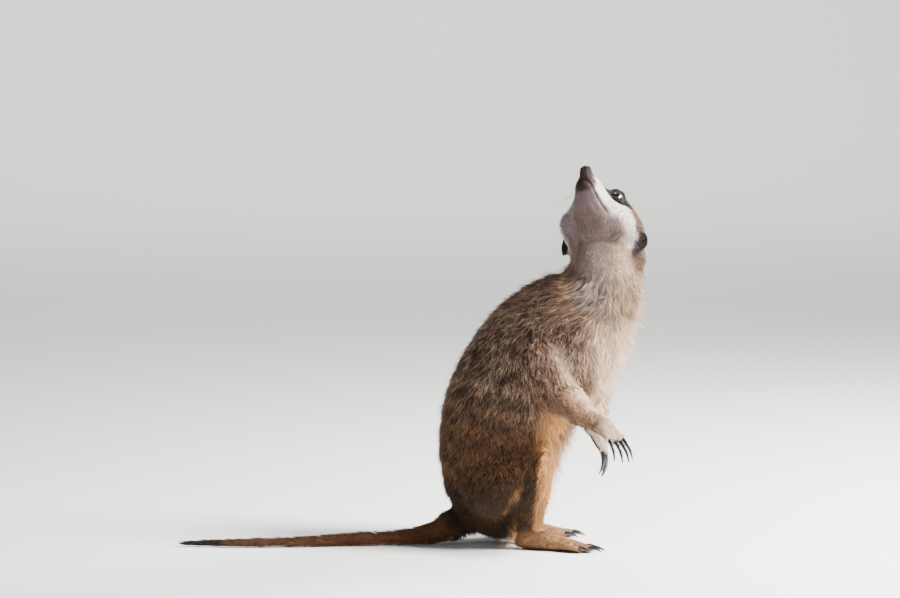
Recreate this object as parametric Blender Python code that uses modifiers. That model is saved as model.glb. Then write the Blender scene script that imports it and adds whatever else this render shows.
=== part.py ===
"""A life-size meerkat, sitting up on its hind feet with its head tipped back.

Axes while building: +X is the way the pelvis faces, +Y the animal's left, +Z up,
with the floor at Z = 0.  Every number below is in millimetres or degrees; the meshes
are written in metres.  The solids follow the outline of the coat, out to its tips.
"""
import math

import bmesh
import bpy
from mathutils import Matrix, Vector

MM = 0.001
GAP = 0.35                      # clearance between neighbouring pieces

# ---------------------------------------------------------------- trunk and neck
# (x, y, z, half depth in front, half depth behind, half width, turn to its right)
SPINE = [
    (-5.0, 0.0, 19.5, 27.0, 27.0, 28.0, 0.0),
    (-2.5, 0.0, 30.0, 33.0, 34.0, 33.0, 0.0),
    (0.0, 0.0, 46.0, 36.0, 39.0, 36.0, 0.0),
    (3.0, -0.5, 64.0, 38.0, 44.0, 38.0, 4.0),
    (10.6, -2.0, 86.0, 40.0, 49.0, 38.0, 10.0),
    (24.0, -5.0, 109.0, 41.0, 51.0, 38.0, 18.0),
    (41.0, -8.0, 132.0, 42.0, 50.0, 37.0, 28.0),
    (57.6, -10.0, 153.0, 38.0, 42.0, 32.0, 38.0),
    (69.0, -11.0, 169.5, 30.5, 31.0, 27.5, 50.0),
    (74.0, -9.5, 185.0, 27.5, 27.0, 26.0, 75.0),
    (77.0, -7.0, 198.0, 24.0, 24.0, 24.5, 100.0),
]
NECK_BASE = ((64.0, -11.0, 161.0), (0.50, -0.05, 0.86))     # where the neck leaves the trunk
NECK_TOP = ((75.0, -6.0, 190.0), (0.10, -0.22, 0.97))       # where the head leaves the neck

# ---------------------------------------------------------------- tail
# (x, y, z, radius)
TAIL = [
    (-6.0, -1.0, 27.0, 19.0),
    (-20.0, -4.0, 20.0, 15.0),
    (-32.6, -8.0, 11.0, 10.0),
    (-45.0, -13.5, 7.0, 7.7),
    (-64.0, -21.0, 5.2, 5.9),
    (-96.0, -32.0, 4.5, 5.2),
    (-122.0, -41.0, 3.8, 4.5),
    (-150.0, -48.0, 3.2, 3.9),
    (-178.0, -52.0, 2.6, 3.3),
    (-202.0, -53.0, 2.1, 2.7),
]
# point and normal of the cuts along the tail, root first
TAIL_CUTS = [
    ((-30.0, -7.0, 14.0), (-0.85, -0.25, -0.46)),
    ((-85.0, -28.0, 5.0), (-0.94, -0.33, 0.0)),
    ((-150.0, -48.0, 3.0), (-0.98, -0.18, 0.0)),
]

# ---------------------------------------------------------------- head
SIDES = {"L": 1.0, "R": -1.0}
HEAD_AT = (72.5, -5.5, 201.6)                               # midpoint between the ears
HEAD_TURN, HEAD_PITCH, HEAD_ROLL = 117.0, 65.5, 10.0
# in the head's own axes: (forward, top, bottom, half width)
SKULL = [
    (-14.0, 17.0, -15.0, 21.0),
    (-8.0, 22.0, -19.0, 25.0),
    (0.0, 24.5, -19.0, 27.5),
    (10.0, 23.5, -19.0, 28.0),
    (20.0, 21.5, -17.5, 25.0),
    (28.0, 20.0, -15.5, 19.5),
    (34.0, 14.0, -14.0, 13.8),
    (40.0, 9.5, -12.5, 10.5),
    (46.0, 6.5, -10.5, 8.5),
    (51.5, 5.0, -6.0, 6.8),
    (55.5, 4.2, -4.2, 5.4),
]
EYE_AT, EYE_RADIUS = (29.0, 12.8, 6.5), 5.2
EAR_AT, EAR_SIZE = (4.3, 26.9, -5.0), (15.0, 17.5, 9.0)     # wide, tall, deep
EAR_FACES = (0.48, 0.74, -0.47)
BROW_AT, BROW_SIZE = (26.0, 10.5, 12.0), (8.5, 7.2, 7.2)     # half sizes
CHEEK_AT, CHEEK_SIZE = (15.5, 17.6, -4.5), (12.5, 9.6, 10.0)
NOSE_FROM = 52.5
MOUTH_FRONT, MOUTH_CORNER = (50.0, -6.0), (27.0, -10.2)     # forward and up of the mouth line

# ---------------------------------------------------------------- limbs
# joints; radii along each bone; the radius that fills the fold of the joint; the way the hand points
ARMS = {
    "R": {
        "shoulder": (36.0, -33.0, 130.0), "elbow": (48.0, -42.0, 102.0), "crook": 12.5,
        "wrist": (79.0, -60.0, 87.5), "upper": (20.0, 16.5, 12.0), "fore": (11.0, 8.4, 6.8),
        "hand_turn": 42.0, "hand_climb": -32.0,
    },
    "L": {
        "shoulder": (62.0, 9.0, 134.0), "elbow": (63.0, 2.0, 91.0), "crook": 9.5,
        "wrist": (70.0, -32.0, 82.5), "upper": (19.0, 15.5, 11.5), "fore": (11.0, 9.0, 6.8),
        "hand_turn": 0.0, "hand_climb": -70.0,
    },
}
LEGS = {
    "R": {
        "hip": (-2.0, -20.0, 42.0), "knee": (30.0, -29.0, 59.0), "ankle": (25.0, -24.5, 14.0),
        "thigh": (25.0, 22.0, 14.0), "shank": (13.0, 12.5, 8.8), "crook": 12.0, "foot_turn": 12.5,
    },
    "L": {
        "hip": (-9.0, 18.0, 42.0), "knee": (17.0, 39.0, 59.0), "ankle": (2.0, 28.0, 14.0),
        "thigh": (25.0, 22.0, 14.0), "shank": (13.0, 12.5, 8.8), "crook": 12.0, "foot_turn": -12.0,
    },
}
HIP_INNER = 8.0                                             # the thighs stop this far from the middle
FOOT_LENGTH, HEEL_BEHIND = 53.0, 7.5
# (share of the foot's length, height of the middle, half height, half width)
FOOT = [
    (0.00, 5.5, 5.0, 4.5), (0.10, 7.5, 8.0, 7.0), (0.28, 7.0, 7.6, 7.4),
    (0.48, 5.2, 5.8, 7.6), (0.66, 4.0, 4.6, 7.8), (0.76, 3.4, 3.9, 7.4),
]
# (across from the middle, splay, share of the length)
TOES = [(-6.0, -9.0, 0.90), (-2.1, -3.0, 1.0), (2.1, 3.0, 1.0), (6.0, 9.0, 0.90)]
TOE_RADIUS, HIND_CLAW = 2.6, (8.0, 1.25)                    # claw: bare length, radius at its root
HAND_LENGTH = 20.0
FINGERS = [(-4.6, -9.0, 0.88), (-1.6, -3.0, 1.0), (1.6, 3.0, 1.0), (4.6, 9.0, 0.88)]
FINGER_RADIUS, FORE_CLAW = 2.35, (14.0, 1.45)

# ---------------------------------------------------------------- colours
GREY_COAT = (0.230, 0.165, 0.120, 1.0)
TAWNY_COAT = (0.330, 0.180, 0.085, 1.0)
CREAM_COAT = (0.560, 0.460, 0.350, 1.0)
DARK_SKIN = (0.020, 0.015, 0.013, 1.0)
CLAW_BLACK = (0.012, 0.012, 0.014, 1.0)
EYE_BROWN = (0.020, 0.011, 0.006, 1.0)


# ================================================================ small helpers
def eased_value(p, q, r, s, t):
    """Catmull-Rom value between q and r."""
    bend = (2.0 * p - 5.0 * q + 4.0 * r - s) * t * t + (3.0 * q - p - 3.0 * r + s) * t ** 3
    return 0.5 * (2.0 * q + (r - p) * t + bend)


def eased(rows, parts=3):
    """Fill in a table of stations with a smooth curve through them."""
    out = []
    last = len(rows) - 1
    for i in range(last):
        a, b, c, d = (rows[max(i - 1, 0)], rows[i], rows[i + 1], rows[min(i + 2, last)])
        for part in range(parts):
            out.append(tuple(eased_value(p, q, r, s, part / parts) for p, q, r, s in zip(a, b, c, d)))
    out.append(tuple(rows[last]))
    return out


def clear_scene():
    for item in list(bpy.data.objects):
        bpy.data.objects.remove(item, do_unlink=True)


def heading(turn, climb=0.0):
    """Unit direction turned this far to the animal's right and climbing this steeply."""
    turn, climb = math.radians(turn), math.radians(climb)
    return Vector((math.cos(climb) * math.cos(turn), -math.cos(climb) * math.sin(turn), math.sin(climb)))


def add_mesh(name, points, faces):
    mesh = bpy.data.meshes.new(name)
    mesh.from_pydata([Vector(p) * MM for p in points], [], faces)
    mesh.update()
    item = bpy.data.objects.new(name, mesh)
    bpy.context.scene.collection.objects.link(item)
    return item


def loft(name, rings, sides=24, power=2.2):
    """Close a solid through rings of (centre, side, deep, half side, half front, half back)."""
    points, faces = [], []
    for centre, side, deep, half_side, front, back in rings:
        for step in range(sides):
            angle = 2.0 * math.pi * step / sides
            c, s = math.cos(angle), math.sin(angle)
            c = math.copysign(abs(c) ** (2.0 / power), c)
            s = math.copysign(abs(s) ** (2.0 / power), s)
            points.append(centre + deep * (c * (front if c > 0 else back)) + side * (s * half_side))
    for ring in range(len(rings) - 1):
        for step in range(sides):
            a, b = ring * sides + step, ring * sides + (step + 1) % sides
            faces.append((a, b, b + sides, a + sides))
    faces.append(tuple(reversed(range(sides))))
    faces.append(tuple(range((len(rings) - 1) * sides, len(rings) * sides)))
    item = add_mesh(name, points, faces)
    face_outward(item)
    return item


def face_outward(item):
    bm = bmesh.new()
    bm.from_mesh(item.data)
    bmesh.ops.recalc_face_normals(bm, faces=bm.faces)
    bm.to_mesh(item.data)
    bm.free()


def domed(rings, ends=(0.5, 0.5)):
    """Round both ends of a loft off: extra rings that shrink while they run on past it."""
    out = list(rings)
    for index, reach in ((0, ends[0]), (-1, ends[1])):
        if reach <= 0:
            continue
        centre, side, deep, half_side, front, back = out[index]
        neighbour = out[1][0] if index == 0 else out[-2][0]
        away = (centre - neighbour).normalized() * min(front, half_side) * reach
        for share, size in ((0.45, 0.88), (0.80, 0.60), (0.97, 0.25)):
            ring = (centre + away * share, side, deep, half_side * size, front * size, back * size)
            if index == 0:
                out.insert(0, ring)
            else:
                out.append(ring)
    return out


def tangents(centres):
    last = len(centres) - 1
    return [(centres[min(i + 1, last)] - centres[max(i - 1, 0)]).normalized() for i in range(last + 1)]


def tube(name, stations, sides=16, flat=1.0, side_hint=None, ends=(1.0, 1.0)):
    """Tapered round limb through (point, radius) stations; flat < 1 thins it across the side axis."""
    centres = [Vector(point) for point, radius in stations]
    rings = []
    for (point, radius), centre, along in zip(stations, centres, tangents(centres)):
        hint = Vector(side_hint) if side_hint else Vector((0.13, 0.97, 0.21))
        side = (hint - along * hint.dot(along)).normalized()
        deep = side.cross(along)
        rings.append((centre, side, deep, radius, radius * flat, radius * flat))
    return loft(name, domed(rings, ends), sides, 2.0)


def evaluate(item):
    """Apply an object's modifiers to its mesh."""
    graph = bpy.context.evaluated_depsgraph_get()
    mesh = bpy.data.meshes.new_from_object(item.evaluated_get(graph))
    item.modifiers.clear()
    item.data = mesh
    return item


def join(name, items):
    points, faces = [], []
    for item in items:
        start = len(points)
        points += [item.matrix_world @ v.co / MM for v in item.data.vertices]
        faces += [tuple(start + v for v in p.vertices) for p in item.data.polygons]
        bpy.data.objects.remove(item, do_unlink=True)
    return add_mesh(name, points, faces)


def fuse(name, items, voxel, smoothing, triangles, bite=True):
    """Melt overlapping forms into one skin, smooth it and thin its facets."""
    body = join(name, items)
    melt = body.modifiers.new("melt", "REMESH")
    melt.mode = "VOXEL"
    melt.voxel_size = voxel * MM
    soften = body.modifiers.new("soften", "SMOOTH")
    soften.factor = 0.5
    soften.iterations = smoothing
    evaluate(body)
    thin = body.modifiers.new("thin", "DECIMATE")
    thin.ratio = min(1.0, triangles / (2.0 * len(body.data.polygons)))
    evaluate(body)
    return body


def split(item, point, normal, keep_front, gap=GAP):
    """Cut a body across a plane and keep one side of it, half a gap short of the plane."""
    normal = Vector(normal).normalized()
    offset = normal * (gap * 0.5 * MM) * (1.0 if keep_front else -1.0)
    bm = bmesh.new()
    bm.from_mesh(item.data)
    bmesh.ops.bisect_plane(
        bm, geom=bm.verts[:] + bm.edges[:] + bm.faces[:], dist=1e-7,
        plane_co=Vector(point) * MM + offset, plane_no=normal,
        clear_outer=not keep_front, clear_inner=keep_front)
    open_edges = [edge for edge in bm.edges if edge.is_boundary]
    bmesh.ops.holes_fill(bm, edges=open_edges, sides=0)
    bmesh.ops.triangulate(bm, faces=[face for face in bm.faces if len(face.verts) > 4])
    bm.to_mesh(item.data)
    bm.free()
    return item


def copy_of(item, name):
    twin = bpy.data.objects.new(name, item.data.copy())
    bpy.context.scene.collection.objects.link(twin)
    return twin


def halves(item, front_name, point, normal):
    """Part a body at a plane; the item keeps the back half, the front half is returned."""
    front = copy_of(item, front_name)
    split(front, point, normal, True)
    split(item, point, normal, False)
    return front


def grown(item, amount):
    """A copy swollen by this much along its normals."""
    twin = copy_of(item, item.name + "_grown")
    swell = twin.modifiers.new("swell", "DISPLACE")
    swell.strength = amount * MM
    swell.mid_level = 0.0
    return evaluate(twin)


def combine(item, cutter, operation, drop=True):
    step = item.modifiers.new("cut", "BOOLEAN")
    step.operation = operation
    step.solver = "EXACT"
    step.object = cutter
    evaluate(item)
    if drop:
        bpy.data.objects.remove(cutter, do_unlink=True)
    keep_largest(item)
    return item


def keep_largest(item):
    """Drop crumbs that a cut can leave behind."""
    bm = bmesh.new()
    bm.from_mesh(item.data)
    unseen, groups = set(bm.verts), []
    while unseen:
        stack, group = [unseen.pop()], []
        while stack:
            vert = stack.pop()
            group.append(vert)
            for edge in vert.link_edges:
                other = edge.other_vert(vert)
                if other in unseen:
                    unseen.discard(other)
                    stack.append(other)
        groups.append(group)
    groups.sort(key=len)
    crumbs = [vert for group in groups[:-1] for vert in group]
    if crumbs:
        bmesh.ops.delete(bm, geom=crumbs, context="VERTS")
        bm.to_mesh(item.data)
    bm.free()


def paint(item, colour, roughness):
    material = bpy.data.materials.new(item.name + "_material")
    material.use_nodes = True
    shader = material.node_tree.nodes["Principled BSDF"]
    shader.inputs["Base Color"].default_value = colour
    shader.inputs["Roughness"].default_value = roughness
    item.data.materials.clear()
    item.data.materials.append(material)
    return item


# ================================================================ body
def spine_rings(first=0):
    stations = eased(SPINE[first:])
    centres = [Vector(s[:3]) for s in stations]
    rings = []
    for (x, y, z, front, back, wide, turn), centre, along in zip(stations, centres, tangents(centres)):
        left = heading(turn - 90.0)
        side = (left - along * left.dot(along)).normalized()
        rings.append((centre, side, side.cross(along), wide, front, back))
    return rings


def build_core():
    """Trunk, neck and tail in one skin."""
    trunk = loft("trunk_form", domed(spine_rings(), (0.55, 0.5)), 32)
    tail = tube("tail_form", [(s[:3], s[3]) for s in eased(TAIL)], 16, ends=(1.0, 1.3))
    core = fuse("trunk", [trunk, tail], 1.8, 5, 1120)
    return split(core, (0, 0, 0), (0, 0, 1), True, 0.0)


def head_frame():
    turn = Matrix.Rotation(math.radians(-HEAD_TURN), 4, "Z")
    pitch = Matrix.Rotation(math.radians(-HEAD_PITCH), 4, "Y")
    roll = Matrix.Rotation(math.radians(HEAD_ROLL), 4, "X")
    return Matrix.Translation(Vector(HEAD_AT)) @ turn @ pitch @ roll


def in_head(forward, left, up):
    return head_frame() @ Vector((forward, left, up))


def head_way(forward, left, up):
    return (head_frame().to_3x3() @ Vector((forward, left, up))).normalized()


def build_head():
    side, up = head_way(0, 1, 0), head_way(0, 0, 1)
    rings = []
    for forward, top, bottom, wide in eased(SKULL):
        middle = 0.5 * (top + bottom)
        half = 0.5 * (top - bottom)
        rings.append((in_head(forward, 0, middle), side, up, wide, half, half))
    skull = loft("skull_form", domed(rings, (0.5, 0.6)), 28, 2.15)
    neck = loft("neck_form", domed(spine_rings(7), (0.2, 0.5)), 32)
    forms = [skull, neck]
    for mark, side_sign in SIDES.items():
        forms.append(bulge("brow_" + mark, BROW_AT, BROW_SIZE, side_sign))
        forms.append(bulge("cheek_" + mark, CHEEK_AT, CHEEK_SIZE, side_sign))
    return fuse("head", forms, 1.1, 4, 860)


def bulge(name, at, half_sizes, side_sign):
    """Rounded form on one side of the skull."""
    axes = Matrix((head_way(1, 0, 0), head_way(0, 1, 0), head_way(0, 0, 1))).transposed().to_4x4()
    spot = in_head(at[0], at[1] * side_sign, at[2]) * MM
    return ball(name, Matrix.Translation(spot) @ axes, half_sizes, 20, 12)


def build_ear(mark, side_sign):
    """A rounded, cupped ear whose open side looks forward and out."""
    faces = head_way(EAR_FACES[0], EAR_FACES[1] * side_sign, EAR_FACES[2])
    up = head_way(0, 0, 1)
    tall = (up - faces * up.dot(faces)).normalized()
    wide = tall.cross(faces)
    frame = Matrix((wide, tall, faces)).transposed().to_4x4()
    frame = Matrix.Translation(in_head(EAR_AT[0], EAR_AT[1] * side_sign, EAR_AT[2]) * MM) @ frame
    ear = ball("ear_" + mark, Matrix.Identity(4), (1.0, 1.0, 1.0), 14, 8)
    for vert in ear.data.vertices:
        x, y, z = vert.co / MM
        if z > 0:
            z = -0.40 * (1.0 - x * x - y * y)
        place = Vector((x * 0.5 * EAR_SIZE[0], y * 0.5 * EAR_SIZE[1], z * 0.7 * EAR_SIZE[2]))
        vert.co = frame @ (place * MM)
    face_outward(ear)
    return ear


def ball(name, frame, radii, around, rows):
    mesh = bpy.data.meshes.new(name)
    bm = bmesh.new()
    bmesh.ops.create_uvsphere(bm, u_segments=around, v_segments=rows, radius=1.0)
    size = Matrix.Diagonal(Vector((radii[0], radii[1], radii[2], 1000.0))) * MM
    bmesh.ops.transform(bm, matrix=frame @ size, verts=bm.verts)
    bm.to_mesh(mesh)
    bm.free()
    item = bpy.data.objects.new(name, mesh)
    bpy.context.scene.collection.objects.link(item)
    return item


def block(name, frame, low, high):
    """Box between two corners given in a frame's own axes."""
    corners = []
    for x in (low[0], high[0]):
        for y in (low[1], high[1]):
            corners += [frame @ Vector((x, y, z)) for z in (low[2], high[2])]
    faces = [(0, 1, 3, 2), (4, 6, 7, 5), (0, 4, 5, 1), (2, 3, 7, 6), (0, 2, 6, 4), (1, 5, 7, 3)]
    item = add_mesh(name, corners, faces)
    face_outward(item)
    return item


def take_jaw(head):
    """Part the lower jaw from the head below the mouth line."""
    forward = Vector((MOUTH_FRONT[0] - MOUTH_CORNER[0], 0, MOUTH_FRONT[1] - MOUTH_CORNER[1]))
    tilt = math.atan2(forward.z, forward.x)
    frame = head_frame() @ Matrix.Translation((MOUTH_CORNER[0], 0, MOUTH_CORNER[1]))
    frame = frame @ Matrix.Rotation(-tilt, 4, "Y")
    jaw = copy_of(head, "lower_jaw")
    combine(jaw, block("inside", frame, (0, -30, -24), (40, 30, 0)), "INTERSECT")
    combine(head, block("outside", frame, (-GAP, -31, -25), (41, 31, GAP)), "DIFFERENCE")
    return jaw


def build_limb(name, joints, first, second, crook, voxel, triangles):
    """Two bones' worth of limb in one skin, thickest at the body, with the fold of the joint filled."""
    a, b, c = (Vector(j) for j in joints)
    upper = [(a, first[0]), (a.lerp(b, 0.5), first[1]), (b, first[2])]
    lower = [(b, second[0]), (b.lerp(c, 0.45), second[1]), (c, second[2]), (c.lerp(b, -0.12), second[2])]
    forms = [tube(name + "_a", upper, 18, ends=(0.8, 0.9)), tube(name + "_b", lower, 18, ends=(0.9, 0.4))]
    forms.append(tube(name + "_c", [(a.lerp(b, 0.6), crook), (b.lerp(c, 0.5), crook * 0.8)], 14))
    return fuse(name, forms, voxel, 3, triangles)


def bend_plane(a, b, c):
    """Point and normal of the plane that halves a joint; the normal runs down the limb."""
    a, b, c = Vector(a), Vector(b), Vector(c)
    return b, ((b - a).normalized() + (c - b).normalized()).normalized()


def claw(name, base, along, down, length, radius, curl, swell=0.0):
    """Horn hook: starts along one way and bends toward another."""
    stations, steps = [], 5
    for step in range(steps + 1):
        share = step / steps
        angle = math.radians(curl) * share
        bend = math.radians(curl)
        ahead = length * math.sin(angle) / bend
        drop = length * (1.0 - math.cos(angle)) / bend
        thickness = max(0.34, radius * (1.0 - share) ** 0.6) + swell
        stations.append((base + along * ahead + down * drop, thickness))
    side = along.cross(down).normalized()
    if swell:
        stations.insert(0, (base - along * swell, radius + swell))
    return tube(name, stations, 6, flat=1.25, side_hint=side, ends=(0, 0))


def seated_claw(body, name, *shape):
    """A claw sunk into its finger or toe with a clear gap round it."""
    combine(body, claw("room", *shape, swell=GAP), "DIFFERENCE")
    return claw(name, *shape)


def build_foot(mark, leg, core):
    ankle = Vector(leg["ankle"])
    ahead, left = heading(leg["foot_turn"]), heading(leg["foot_turn"] - 90.0)
    heel = Vector((ankle.x, ankle.y, 0.0)) - ahead * HEEL_BEHIND
    up = Vector((0, 0, 1))
    rings = []
    for share, middle, half, wide in eased(FOOT):
        rings.append((heel + ahead * (share * FOOT_LENGTH) + up * middle, left, up, wide, half, half))
    forms = [loft("sole_form", domed(rings, (0.7, 0.8)), 20, 2.3)]
    knee = Vector(leg["knee"])
    thick = leg["shank"][2]
    shin = [(ankle.lerp(knee, 0.35), thick + 1.4), (ankle, thick), (ankle.lerp(knee, -0.12), thick * 0.9)]
    forms.append(tube("ankle_form", shin, 16, ends=(0.3, 0.4)))
    claws = []
    for number, (across, splay, share) in enumerate(TOES, 1):
        way = heading(leg["foot_turn"] - splay)
        root = heel + ahead * (0.62 * FOOT_LENGTH) + left * across + up * 3.8
        knuckle = heel + ahead * (0.82 * FOOT_LENGTH * share) + left * (across * 1.12) + up * 3.6
        tip = heel + ahead * (FOOT_LENGTH * share - TOE_RADIUS) + left * (across * 1.25) + up * 2.3
        toe = [(root, TOE_RADIUS), (knuckle, TOE_RADIUS * 1.08), (tip, TOE_RADIUS * 0.98)]
        forms.append(tube("toe_form", toe, 12))
        start = tip + way * (TOE_RADIUS - 2.2) + up * 1.1
        claws.append(("hind_claw_%s%d" % (mark, number), start, (way + up * 0.12).normalized(),
                      Vector((0, 0, -1)), HIND_CLAW[0] + 2.0, HIND_CLAW[1], 38.0))
    foot = fuse("foot_" + mark, forms, 0.75, 3, 270)
    split(foot, ankle + up, up, False)
    split(foot, (0, 0, 0), (0, 0, 1), True, 0.0)
    combine(core, grown(foot, GAP), "DIFFERENCE")
    return foot, [seated_claw(foot, *shape) for shape in claws]


def build_hand(mark, arm):
    wrist, elbow = Vector(arm["wrist"]), Vector(arm["elbow"])
    along = heading(arm["hand_turn"], arm["hand_climb"])
    left = heading(arm["hand_turn"] - 90.0)
    back = along.cross(left)
    thick = arm["fore"][2]
    rings = []
    for share, wide, half in ((0.0, 0.95, 0.90), (0.22, 0.98, 0.80), (0.48, 1.02, 0.66), (0.66, 0.95, 0.52)):
        centre = wrist + along * (share * HAND_LENGTH)
        rings.append((centre, left, back, thick * wide, thick * half, thick * half))
    forms = [loft("palm_form", domed(rings, (0.5, 0.6)), 20, 2.2)]
    cuff = [(wrist.lerp(elbow, 0.5), thick + 1.8), (wrist, thick), (wrist.lerp(elbow, -0.1), thick * 0.9)]
    forms.append(tube("wrist_form", cuff, 16, ends=(0.3, 0.4)))
    claws = []
    for number, (across, splay, share) in enumerate(FINGERS, 1):
        way = (along * math.cos(math.radians(splay)) + left * math.sin(math.radians(splay))).normalized()
        root = wrist + along * (0.50 * HAND_LENGTH) + left * across
        knuckle = wrist + along * (0.74 * HAND_LENGTH * share) + left * (across * 1.1) + back * 0.9
        tip = wrist + along * (HAND_LENGTH * share - FINGER_RADIUS) + left * (across * 1.2) - back * 0.2
        finger = [(root, FINGER_RADIUS), (knuckle, FINGER_RADIUS * 1.05), (tip, FINGER_RADIUS * 0.98)]
        forms.append(tube("finger_form", finger, 12))
        start = tip + way * (FINGER_RADIUS - 2.3) + back * 0.5
        claws.append(("fore_claw_%s%d" % (mark, number), start, way, -back,
                      FORE_CLAW[0] + 2.0, FORE_CLAW[1], 52.0))
    hand = fuse("hand_" + mark, forms, 0.7, 3, 270)
    split(hand, wrist, along + (wrist - elbow).normalized(), True)
    return hand, [seated_claw(hand, *shape) for shape in claws]


# ================================================================ assembly
def build():
    clear_scene()
    coat, dark, horn, eyes = [], [], [], []

    core = build_core()
    head = build_head()
    split(head, *NECK_TOP, True)

    neck = halves(core, "neck", *NECK_BASE)
    split(neck, *NECK_TOP, False)
    tail = halves(core, "tail_base", *TAIL_CUTS[0])
    middle = halves(tail, "tail_middle", *TAIL_CUTS[1])
    tip = halves(middle, "tail_tip", *TAIL_CUTS[2])
    coat += [(neck, GREY_COAT), (tail, TAWNY_COAT), (middle, TAWNY_COAT), (tip, DARK_SKIN)]

    for mark, leg in LEGS.items():
        joints = (leg["hip"], leg["knee"], leg["ankle"])
        thigh = build_limb("thigh_" + mark, joints, leg["thigh"], leg["shank"], leg["crook"], 1.5, 300)
        outward = -1.0 if mark == "R" else 1.0
        split(thigh, (0, outward * HIP_INNER, 0), (0, outward, 0), True)
        combine(core, grown(thigh, GAP), "DIFFERENCE")
        shank = halves(thigh, "shank_" + mark, *bend_plane(*joints))
        split(shank, Vector(leg["ankle"]) + Vector((0, 0, 1)), (0, 0, 1), True)
        foot, claws = build_foot(mark, leg, core)
        coat += [(thigh, TAWNY_COAT), (shank, TAWNY_COAT), (foot, CREAM_COAT)]
        horn += claws

    for mark, arm in ARMS.items():
        joints = (arm["shoulder"], arm["elbow"], arm["wrist"])
        upper = build_limb("upper_arm_" + mark, joints, arm["upper"], arm["fore"], arm["crook"], 1.3, 260)
        combine(core, grown(upper, GAP), "DIFFERENCE")
        fore = halves(upper, "forearm_" + mark, *bend_plane(*joints))
        along = heading(arm["hand_turn"], arm["hand_climb"])
        wrist, elbow = Vector(arm["wrist"]), Vector(arm["elbow"])
        split(fore, wrist, along + (wrist - elbow).normalized(), False)
        hand, claws = build_hand(mark, arm)
        coat += [(upper, GREY_COAT), (fore, GREY_COAT), (hand, CREAM_COAT)]
        horn += claws
    coat.append((core, GREY_COAT))

    for mark, side in SIDES.items():
        ear = build_ear(mark, side)
        combine(head, grown(ear, GAP), "DIFFERENCE")
        dark.append(ear)
        at = in_head(EYE_AT[0], EYE_AT[1] * side, EYE_AT[2])
        frame = Matrix.Translation(at * MM) @ head_frame().to_3x3().to_4x4()
        eyes.append(ball("eye_" + mark, frame, [EYE_RADIUS] * 3, 12, 8))
        combine(head, ball("socket", frame, [EYE_RADIUS + GAP] * 3, 12, 8), "DIFFERENCE")
    nose = halves(head, "nose", in_head(NOSE_FROM, 0, 0), head_way(1, 0, 0))
    jaw = take_jaw(head)
    dark.append(nose)
    coat += [(head, CREAM_COAT), (jaw, CREAM_COAT)]

    for item, colour in coat:
        paint(item, colour, 0.85)
    for item in dark:
        paint(item, DARK_SKIN, 0.6)
    for item in horn:
        paint(item, CLAW_BLACK, 0.35)
    for item in eyes:
        paint(item, EYE_BROWN, 0.08)
    centre_on_floor()


def centre_on_floor():
    """Slide everything so the floor stays at zero and the middle of the bounding box is the origin."""
    items = [item for item in bpy.data.objects if item.type == "MESH"]
    places = [vert.co for item in items for vert in item.data.vertices]
    middle_x = 0.5 * (min(p.x for p in places) + max(p.x for p in places))
    middle_y = 0.5 * (min(p.y for p in places) + max(p.y for p in places))
    shift = Matrix.Translation((-middle_x, -middle_y, 0.0))
    for item in items:
        item.data.transform(shift)


build()
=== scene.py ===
"""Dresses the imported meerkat: one skin over the solids, a coat of tufts, eyes, claws and whiskers.

The sheet of sizes and colours is in the property groups below.  Everything is in metres, in the
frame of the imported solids, and every place comes from those solids' own boxes and surfaces.
"""

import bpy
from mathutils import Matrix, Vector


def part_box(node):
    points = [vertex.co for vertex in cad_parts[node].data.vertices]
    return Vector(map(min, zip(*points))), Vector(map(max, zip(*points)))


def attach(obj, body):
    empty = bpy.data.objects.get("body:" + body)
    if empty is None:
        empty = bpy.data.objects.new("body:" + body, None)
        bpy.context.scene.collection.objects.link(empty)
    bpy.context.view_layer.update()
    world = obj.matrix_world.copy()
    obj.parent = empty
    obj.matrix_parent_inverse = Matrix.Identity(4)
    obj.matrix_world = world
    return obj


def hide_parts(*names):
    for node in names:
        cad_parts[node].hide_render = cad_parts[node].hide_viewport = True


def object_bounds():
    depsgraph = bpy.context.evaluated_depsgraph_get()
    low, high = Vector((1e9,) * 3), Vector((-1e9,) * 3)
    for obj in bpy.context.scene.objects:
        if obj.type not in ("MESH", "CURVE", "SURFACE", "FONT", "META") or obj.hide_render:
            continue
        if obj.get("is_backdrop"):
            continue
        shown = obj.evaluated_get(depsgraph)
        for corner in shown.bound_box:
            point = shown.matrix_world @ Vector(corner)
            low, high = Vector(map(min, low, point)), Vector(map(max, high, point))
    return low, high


bl_info = {
    "name": "Life-size meerkat",
    "version": (1, 0, 0),
    "blender": (4, 5, 0),
    "location": "View3D > Sidebar > Meerkat",
    "description": "Skin, coat, eyes, claws and whiskers over the solids of a sitting meerkat",
    "category": "Object",
}

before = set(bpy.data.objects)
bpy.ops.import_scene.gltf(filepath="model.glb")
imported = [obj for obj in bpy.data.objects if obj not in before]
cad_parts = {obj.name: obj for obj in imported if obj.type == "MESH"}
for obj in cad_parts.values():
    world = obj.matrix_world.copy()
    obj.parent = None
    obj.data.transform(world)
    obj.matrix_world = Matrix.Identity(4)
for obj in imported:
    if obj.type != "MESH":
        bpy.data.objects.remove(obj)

import math
from contextlib import contextmanager

import bmesh
import bpy
import numpy as np
from bpy.props import (CollectionProperty, FloatProperty, FloatVectorProperty, IntProperty,
                       PointerProperty)
from mathutils import Vector
from mathutils.bvhtree import BVHTree
from mathutils.kdtree import KDTree

MM = 0.001
SKIN = "skin"
EYES = ("eye_L", "eye_R")
FLESH = tuple(sorted(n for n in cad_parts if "claw" not in n and n not in EYES))
FORE_CLAWS = tuple(sorted(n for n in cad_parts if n.startswith("fore_claw")))
HIND_CLAWS = tuple(sorted(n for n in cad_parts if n.startswith("hind_claw")))

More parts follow.
